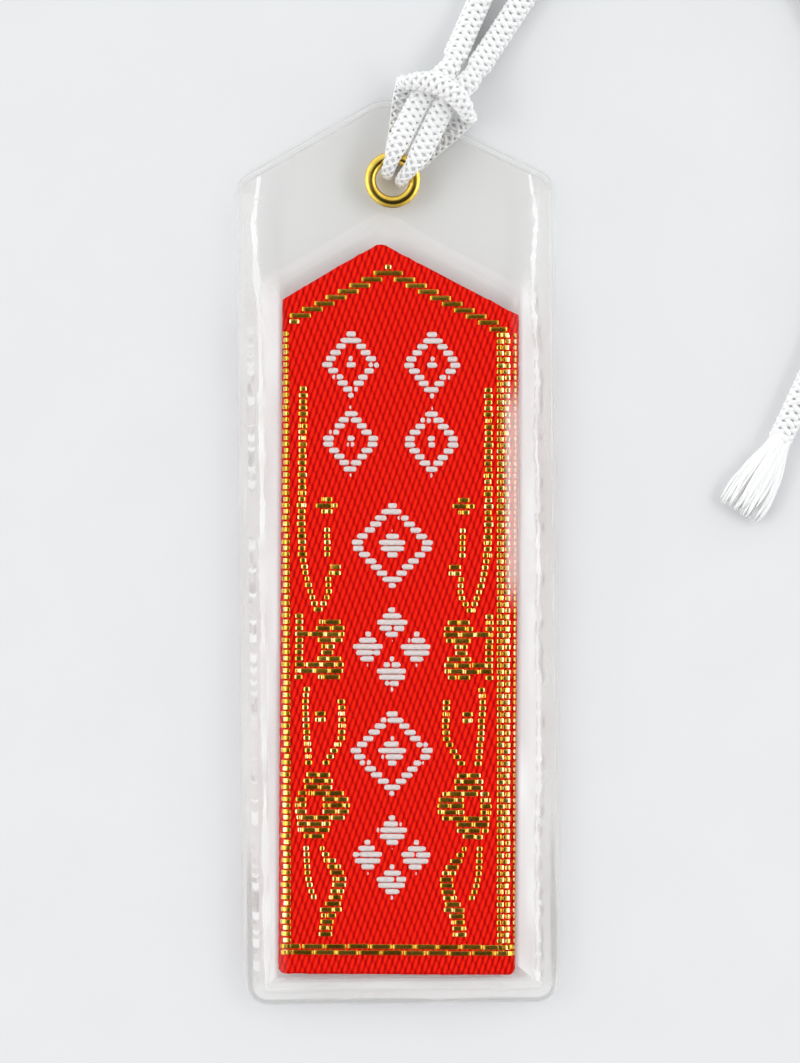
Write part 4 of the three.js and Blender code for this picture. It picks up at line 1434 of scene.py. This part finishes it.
@dataclass
class Insert:
    """The woven strip folded round its card, with gold and white floats on its face."""

    width: float = 21.2
    height: float = 65.7
    left_slope: float = 30.6
    right_slope: float = 27.25
    peak_shift: float = -1.9
    blunt: float = 0.3
    worn: float = 0.16
    tilt: float = -0.87
    centre: Pair = (0.0, -5.325)
    ornament_rise: float = 0.1
    border_peak: Pair = (-1.155, 30.325)
    border_slopes: Pair = (27.24, 27.06)
    border_reach: Pair = (-10.0, 9.6)
    border_half: float = 0.5
    border_rows: Pair = (-31.2, -30.0)
    border_drift: float = -0.006
    border_swing: float = 0.13
    peak_from: float = 24.0
    gold_reach: Pair = (-10.5, 10.6)
    white_reach: Pair = (-8.0, 7.0)
    drawing_step: float = 0.03
    shortest: float = 0.28
    # The longest float and the ties' step from row to row, for each drawing
    peak_ties: Pair = (60.0, 0.37)
    foot_ties: Pair = (2.03, 1.0)
    sprig_ties: Pair = (1.35, 0.61)
    white_ties: Pair = (5.0, 1.7)
    fold: float = 0.70
    cloth: float = 0.26
    slit: float = 0.4
    corner: float = 0.6
    rib_pitch: float = 0.45
    rib_angle: float = 72.0
    rib_height: float = 0.055
    rows: int = 206
    front_columns: int = 234
    back_columns: int = 34
    inner_columns: int = 28
    row_pitch: float = 0.55
    mirror: float = -0.40
    gold: Float = Float(0.205, 0.030, 0.078, 0.060, 0.10, FLAT_THREAD)
    white: Float = Float(0.245, 0.050, 0.080, 0.100, 0.22, ROUND_THREAD)
    # Side borders: start, end, the swing of each, the end's drift, the shine (painted highlight), and its
    # change with the rows
    borders: Route = (
        (-10.66, -9.78, 0.8, 0.0, 1.6, 0.6, 0.4), (8.815, 9.40, 0.0, 1.0, 1.0, 0.2, 0.5),
        (9.44, 10.065, 1.0, 0.0, 1.0, 1.0, -0.35), (10.28, 10.68, 0.0, 0.0, 1.0, 0.6, 0.4),
    )
    # The left side's ornament, in the strip's own millimetres: strokes, each drawn upwards
    stem: Route = (
        (-7.34, -0.63), (-7.62, 0.45), (-8.08, 1.70), (-8.44, 3.14), (-8.72, 4.66), (-8.83, 7.63),
        (-8.76, 11.1), (-8.78, 15.0), (-8.70, 20.0))
    stalk: Route = (
        (-7.34, -0.54), (-6.99, 0.0), (-6.28, 1.18), (-6.37, 2.43), (-6.48, 4.86), (-6.49, 7.46))
    left_bud: Route = ((-7.98, -14.27), (-8.27, -11.0), (-8.38, -8.35), (-8.20, -6.91))
    right_bud: Route = (
        (-6.55, -14.1), (-5.66, -12.73), (-5.12, -11.74), (-5.04, -10.6), (-5.14, -8.33))
    left_leaf: Route = ((-7.28, -26.57), (-7.82, -25.3), (-8.10, -23.8), (-8.21, -21.46))
    right_leaf: Route = (
        (-6.45, -29.62), (-6.37, -28.63), (-6.11, -27.55), (-5.84, -26.74), (-5.49, -25.93),
        (-5.14, -24.58), (-5.59, -23.51), (-6.32, -22.43), (-6.86, -21.54))
    # Round petals, the heart left open between them, and bars: their middles and half sizes
    petals: Route = (
        (-6.17, -2.23, 1.35, 1.35), (-6.24, -5.38, 1.35, 1.35), (-7.16, -15.8, 1.35, 1.2),
        (-5.7, -17.85, 1.4, 1.45), (-7.55, -19.6, 1.5, 1.25), (-8.6, -17.87, 0.65, 1.5),
    )
    heart: tuple[float, ...] = (-7.5, -17.86, 0.72, 0.85)
    bars: Route = (
        (-6.55, 8.9, 1.0, 0.28), (-6.55, 8.9, 0.52, 0.83), (-5.8, 3.6, 0.55, 0.55),
        (-8.3, -2.43, 1.0, 0.52), (-8.3, -5.21, 1.0, 0.52), (-6.43, -3.85, 0.55, 0.5),
        (-8.95, -3.6, 0.36, 2.9), (-7.02, -10.05, 0.48, 0.55),
    )
    stalk_gap: Pair = (3.6, 0.8)
    figures: tuple[tuple[Motif, float, float, float, float], ...] = (
        (Motif.SMALL_LOZENGE, -4.45, 21.9, 2.7, 3.2), (Motif.SMALL_LOZENGE, 2.85, 21.9, 2.7, 3.2),
        (Motif.SMALL_LOZENGE, -4.45, 14.9, 2.7, 3.2), (Motif.SMALL_LOZENGE, 2.85, 14.9, 2.7, 3.2),
        (Motif.NESTED_LOZENGE, -0.65, 5.6, 3.9, 4.0), (Motif.FOUR_LOZENGES, -0.60, -3.7, 3.9, 4.0),
        (Motif.NESTED_LOZENGE, -0.55, -13.0, 3.9, 4.0), (Motif.FOUR_LOZENGES, -0.50, -22.4, 3.9, 4.0),
    )

    def build(self) -> None:
        ground = settle(self.ground(), RedTwill().material(), "insert", "brocade", "brocade_sleeve")
        gold = self.floats("gold_floats", self.gold_runs(), self.gold, 5)
        settle(gold, GoldLame().material(), "insert", "brocade")
        white = self.floats("white_floats", self.white_runs(), self.white, 6)
        settle(white, WhiteThread().material(), "insert", "brocade")
        sheets = {
            "backing_card": PulpSheet("pulp_board", (0.80, 0.76, 0.68), (0.60, 0.55, 0.47)),
            "prayer_slip": PulpSheet("folded_paper", (0.90, 0.88, 0.82), (0.80, 0.77, 0.70), 0.25),
        }
        for node, finish in sheets.items():
            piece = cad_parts[node]
            piece.data.materials.clear()
            piece.data.materials.append(finish.material())
            LOG.info("%s: kept with a new finish", node)

    def flat(self) -> float:
        """Returns the distance along the cloth from the middle of the face to where a side turns."""
        return self.width / 2.0 - self.fold

    def reach(self) -> float:
        """Returns the distance along the cloth from the middle of the face to its edge behind."""
        return 2.0 * self.flat() + math.pi * self.fold - self.slit / 2.0

    def folded(self, u: Array, lift: Array | float) -> tuple[Array, Array]:
        """Places on the folded band's section: flat in front, half a circle round a side, flat behind.

        Args:
            u: distance along the cloth, 0 in the middle of its face.
            lift: distance out from the cloth.

        Returns:
            Places across the strip, and heights above its middle.
        """
        flat, out = self.flat(), self.fold + lift
        turn = np.clip((np.abs(u) - flat) / self.fold, 0.0, math.pi)
        behind = np.maximum(np.abs(u) - flat - math.pi * self.fold, 0.0)
        return np.sign(u) * (np.minimum(np.abs(u), flat) + out * np.sin(turn) - behind), out * np.cos(turn)

    def wrapped(self, u: Array, y: Array, lift: Array) -> Array:
        """Places on the folded band: its section carried straight along the strip.

        Args:
            u: distance along the cloth across the strip, 0 in the middle of its face.
            y: distance along the strip.
            lift: distance out from the cloth.

        Returns:
            Places in the frame, tilted and moved to where the strip lies.
        """
        u, y, lift = np.broadcast_arrays(u, y, lift)
        x, z = self.folded(u, lift)
        angle = math.radians(self.tilt)
        low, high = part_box("brocade_sleeve")
        return np.stack([
            self.centre[0] + x * math.cos(angle) - y * math.sin(angle),
            self.centre[1] + x * math.sin(angle) + y * math.cos(angle),
            (low.z + high.z) / 2.0 / MM + z,
        ], axis=-1)

    def peaked(self, x: Array, middle: float, left: float, right: float, blunt: float) -> Array:
        """Returns how far two slopes in degrees have dropped on each side of a middle, past a blunt tip."""
        slope = np.where(x < middle, math.tan(math.radians(left)), math.tan(math.radians(right)))
        return np.maximum(np.abs(x - middle) - blunt, 0.0) * slope

    def top(self, u: Array) -> Array:
        """Returns the height of the peaked cut above a place along the cloth, with its tip worn flat."""
        x = self.folded(u, 0.0)[0]
        drop = self.peaked(x, self.peak_shift, self.left_slope, self.right_slope, self.blunt)
        return self.height / 2.0 - drop - self.worn

    def bottom(self, u: Array) -> Array:
        """Returns the height of the lower cut, whose two corners are round."""
        reach = np.clip((np.abs(self.folded(u, 0.0)[0]) - self.width / 2.0) / self.corner + 1.0, 0.0, 1.0)
        return -self.height / 2.0 + self.corner * (1.0 - np.sqrt(1.0 - 0.96 * reach**2))

    def slant(self, u: Array, y: Array) -> tuple[Array, Array]:
        """Returns places counted in ribs across the twill, and in millimetres along its ribs."""
        angle = math.radians(self.rib_angle)
        across = (u * math.sin(angle) - y * math.cos(angle)) / self.rib_pitch
        return across, u * math.cos(angle) + y * math.sin(angle)

    def ribs(self, across: Array) -> Array:
        """Returns the twill's ribs: 0 in a groove and 1 on a crest, by a place counted in ribs."""
        return 1.0 - np.abs(2.0 * np.mod(across, 1.0) - 1.0) ** 1.7

    def ground(self) -> Piece:
        """The folded cloth: its outer face with raised ribs, its plain inner face, and its cut ends closed.

        Returns:
            The piece.
        """
        dense, reach = self.flat() + 0.5 * math.pi * self.fold, self.reach()
        back = np.linspace(dense, reach, self.back_columns)
        outer = np.concatenate([-back[:0:-1], np.linspace(-dense, dense, self.front_columns), back[1:]])
        inner = np.linspace(reach, -reach, self.inner_columns)
        u = np.concatenate([outer, inner])[None]
        share = np.linspace(0.0, 1.0, self.rows)[:, None]
        cut = self.top(u) + 0.05 * soft_noise(u / 0.23, 70) + 0.04 * soft_noise(u / 0.8, 71)
        foot = self.bottom(u) + 0.04 * soft_noise(u / 0.6, 72)
        y = foot + share * (cut - foot)
        face = np.concatenate([np.ones(len(outer)), np.zeros(len(inner))])[None]
        front = 1.0 - eased((np.abs(u) - dense) / 0.8)
        across, along = self.slant(u, y)
        rib = self.ribs(across) * front + 0.6 * (1.0 - front)
        lift = np.where(face > 0.5, self.rib_height * rib * front, -self.cloth)
        shell = Shell().grid(self.wrapped(u, y, lift), closed_columns=True, capped=True,
                             rib=rib * (0.6 + 0.4 * face), across=across, along=along)
        return shell.build("brocade_ground")

    def row_heights(self) -> Array:
        """Returns the height of each row of floats along the strip."""
        count = int(self.height / self.row_pitch)
        return -self.height / 2.0 + (np.arange(count) + 0.5) * self.row_pitch

    def runs(self, mask: Array, x: Array, y: Array, longest: float, stagger: float) -> Array:
        """Where each row of a drawing starts and stops, with long runs parted by ties that step by row.

        Args:
            mask: by row and column, whether the drawing covers a place.
            x: the columns' places.
            y: the rows' places.
            longest: the longest float.
            stagger: how far the ties step from one row to the next.

        Returns:
            Start, end and height of each float, and -1 because its shine is left to chance.
        """
        change = np.diff(np.pad(mask, ((0, 0), (1, 1))).astype(int), axis=1)
        row, first = np.nonzero(change == 1)
        last = np.nonzero(change == -1)[1]
        found = []
        for height, start, end in zip(y[row], x[first], x[np.minimum(last, len(x) - 1)]):
            offset = (height / self.row_pitch * stagger) % longest
            first_tie, last_tie = np.floor((start - offset) / longest), np.ceil((end - offset) / longest)
            ties = np.arange(first_tie, last_tie + 1) * longest + offset
            ties = ties[(ties > start + self.shortest) & (ties < end - self.shortest)]
            marks = np.concatenate([[start], ties, [end]])
            rest = np.tile((height, -1.0), (len(marks) - 1, 1))
            found.append(np.column_stack([marks[:-1], marks[1:], rest]))
        return np.concatenate(found)

    def stroke(self, x: Array, y: Array, points: Route, width: Array | float) -> Array:
        """Returns where a drawing lies within half a width of a line that rises from point to point."""
        line = np.array(points)
        middle = np.interp(y, line[:, 1], line[:, 0])
        return (np.abs(x - middle) < width / 2.0) & (y > line[0, 1]) & (y < line[-1, 1])

    def disc(self, x: Array, y: Array, across: float, up: float, wide: float, high: float) -> Array:
        """Returns where a drawing lies in an oval about a place, with its two half sizes."""
        return ((x - across) / wide) ** 2 + ((y - up) / high) ** 2 < 1.0

    def block(self, x: Array, y: Array, across: float, up: float, wide: float, high: float) -> Array:
        """Returns where a drawing lies in an upright rectangle about a place, with its two half sizes."""
        return (np.abs(x - across) < wide) & (np.abs(y - up) < high)

    def gold_runs(self) -> Array:
        """All gold floats: two side borders, the peaked border, the foot border and the flowering stems.

        Returns:
            Start, end, height and shine of each float.
        """
        y = self.row_heights()
        foot, above_foot = self.border_rows
        left, right = self.border_reach
        sides = y[(y > foot) & (y < self.top(np.array(right)) - 2.0)]
        swing = self.border_swing * np.where(np.arange(len(sides)) % 2 == 0, 1.0, -1.0)
        # Painted highlight: the shine lights the side borders' floats, changed by a step on every other
        # row.
        lit_rows = np.where(swing > 0.0, 1.0, 0.0)
        drift = self.border_drift * sides
        borders = [
            np.stack([start + sway * swing + drift, end + end_sway * swing + lean * drift, sides,
                      shine + shine_change * lit_rows], axis=1)
            for start, end, sway, end_sway, lean, shine, shine_change in self.borders]
        grid = np.arange(*self.gold_reach, self.drawing_step)[None]
        rows = y[:, None]
        across, up = self.border_peak
        arms = up - self.peaked(grid, across, *self.border_slopes, 0.0)
        peak = (np.abs(arms - rows) < self.border_half) & (rows > self.peak_from)
        peak = peak & (grid > left) & (grid < right)
        straight = (rows > foot) & (rows < above_foot) & (grid > grid[0, 0])
        drawing = np.zeros_like(peak)
        for side in (1.0, -1.0):
            x = grid if side > 0 else 2.0 * self.mirror - grid
            drawing |= self.sprig(x, rows - self.ornament_rise)
        return np.concatenate([
            *borders,
            self.runs(peak, grid[0], y, *self.peak_ties),
            self.runs(straight, grid[0], y, *self.foot_ties),
            self.runs(drawing, grid[0], y, *self.sprig_ties),
        ])

    def sprig(self, x: Array, y: Array) -> Array:
        """Where the flowering stem down one side lies: petals round an open heart, bars and strokes.

        Args:
            x: places across, in the left side's measure.
            y: places along the strip.

        Returns:
            Whether the drawing covers each place.
        """
        drawing = np.zeros(np.broadcast_shapes(x.shape, y.shape), bool)
        for petal in self.petals:
            drawing |= self.disc(x, y, *petal)
        drawing &= ~self.block(x, y, *self.heart)
        for bar in self.bars:
            drawing |= self.block(x, y, *bar)
        gap, half_gap = self.stalk_gap
        stem = 0.55 + 0.2 * eased((y - 3.0) / 2.0) + 0.1 * np.sin(7.0 * y)
        stalk = np.where(np.abs(y - gap) > half_gap, 0.55, 0.0)
        leaf = 0.4 + 0.85 * eased((-21.6 - y) / 1.6) + 0.75 * bell((y + 27.1) / 0.45)
        strokes = ((self.stem, stem), (self.stalk, stalk), (self.left_bud, 0.62), (self.right_bud, 0.68),
                   (self.left_leaf, 0.55), (self.right_leaf, leaf))
        for points, width in strokes:
            drawing |= self.stroke(x, y, points, width)
        return drawing

    def white_runs(self) -> Array:
        """All white floats: a column of lozenge figures, in outline and in fours.

        Returns:
            Start, end, height and shine of each float.
        """
        y = self.row_heights()
        grid = np.arange(*self.white_reach, self.drawing_step)[None]
        rows = y[:, None]
        drawing = np.zeros((len(y), grid.shape[1]), bool)
        for motif, across, up, half_width, half_height in self.figures:
            x, h = (grid - across) / half_width, (rows - self.ornament_rise - up) / half_height
            outer, inner = motif.value
            if motif is Motif.FOUR_LOZENGES:
                nearer, other = np.maximum(np.abs(x), np.abs(h)), np.minimum(np.abs(x), np.abs(h))
                drawing |= (np.abs(nearer - outer) + other) < inner
            else:
                size = np.abs(x) + np.abs(h)
                drawing |= ((size < 1.0) & (size > outer)) | (size < inner)
        return self.runs(drawing, grid[0], y, *self.white_ties)

    def floats(self, name: str, runs: Array, kind: Float, seed: int) -> Piece:
        """Threads lying on the ground: rings carried along each run, diving into the cloth at both ends.

        Args:
            name: the piece's name.
            runs: start, end, height and shine of each float; the shine is a painted highlight, and a shine
                below 0 is left to chance.
            kind: the thread's section and rise.
            seed: the threads' own random draws.

        Returns:
            The piece.
        """
        draws, one = np.random.default_rng(seed), (len(runs), 1, 1)
        start, end, height = (
            runs[:, k, None, None] + draws.normal(0.0, kind.jitter, one) for k in range(3))
        share = 0.5 - 0.5 * np.cos(np.linspace(0.0, math.pi, kind.stations))[None, :, None]
        wide, thick = np.array(kind.section).T[:, None, None]
        u = start + (end - start) * share
        near = np.minimum(u - start, end - u)
        full = eased(near / kind.end)
        narrow = kind.tip + (1.0 - kind.tip) * full
        y = height + kind.half_height * narrow * wide
        shine = runs[:, 3, None, None]
        slope = draws.normal(0.0, kind.tilt, one) - 0.25 * np.sign(start) * np.maximum(shine, 0.0)
        slope = slope * np.minimum(0.9 / (end - start), 1.0)
        lift = kind.base - kind.dip * (1.0 - full) + kind.half_thickness * narrow * thick
        lift = lift + slope * (u - (start + end) / 2.0)
        # Painted highlight: a shining float's tone rises towards its outer end, and each float is lit pale
        # where it turns down into the cloth.
        fade = np.where(start < 0.0, 3.3 - 3.5 * share, 3.5 * share - 0.3)
        tone = np.where(shine < 0.0, draws.uniform(0.0, 1.0, one), 0.15 + shine * fade)
        turn = np.where(end - start > 1.5, 0.09, 0.26)
        left = draws.uniform(0.2, 1.0, one) * (1.0 - eased((u - start) / turn))
        right = draws.uniform(0.2, 1.0, one) * (1.0 - eased((end - u) / turn))
        bend = np.maximum(left, right * np.where(shine < 0.0, 1.0, 0.2))
        points = self.wrapped(u, y, lift)
        return Shell().grid(points, closed_columns=True, capped=True, tone=tone, bend=bend).build(name)


def main() -> None:
    """Builds the stage and then the charm's sub-assemblies, the cord first."""
    logging.basicConfig(level=logging.INFO, format="%(name)s: %(message)s")
    for part in (Stage(), Cord(), Sheath(), Eyelet(), Insert()):
        LOG.info("building %s", type(part).__name__)
        part.build()


if __name__ == "__main__":
    main()
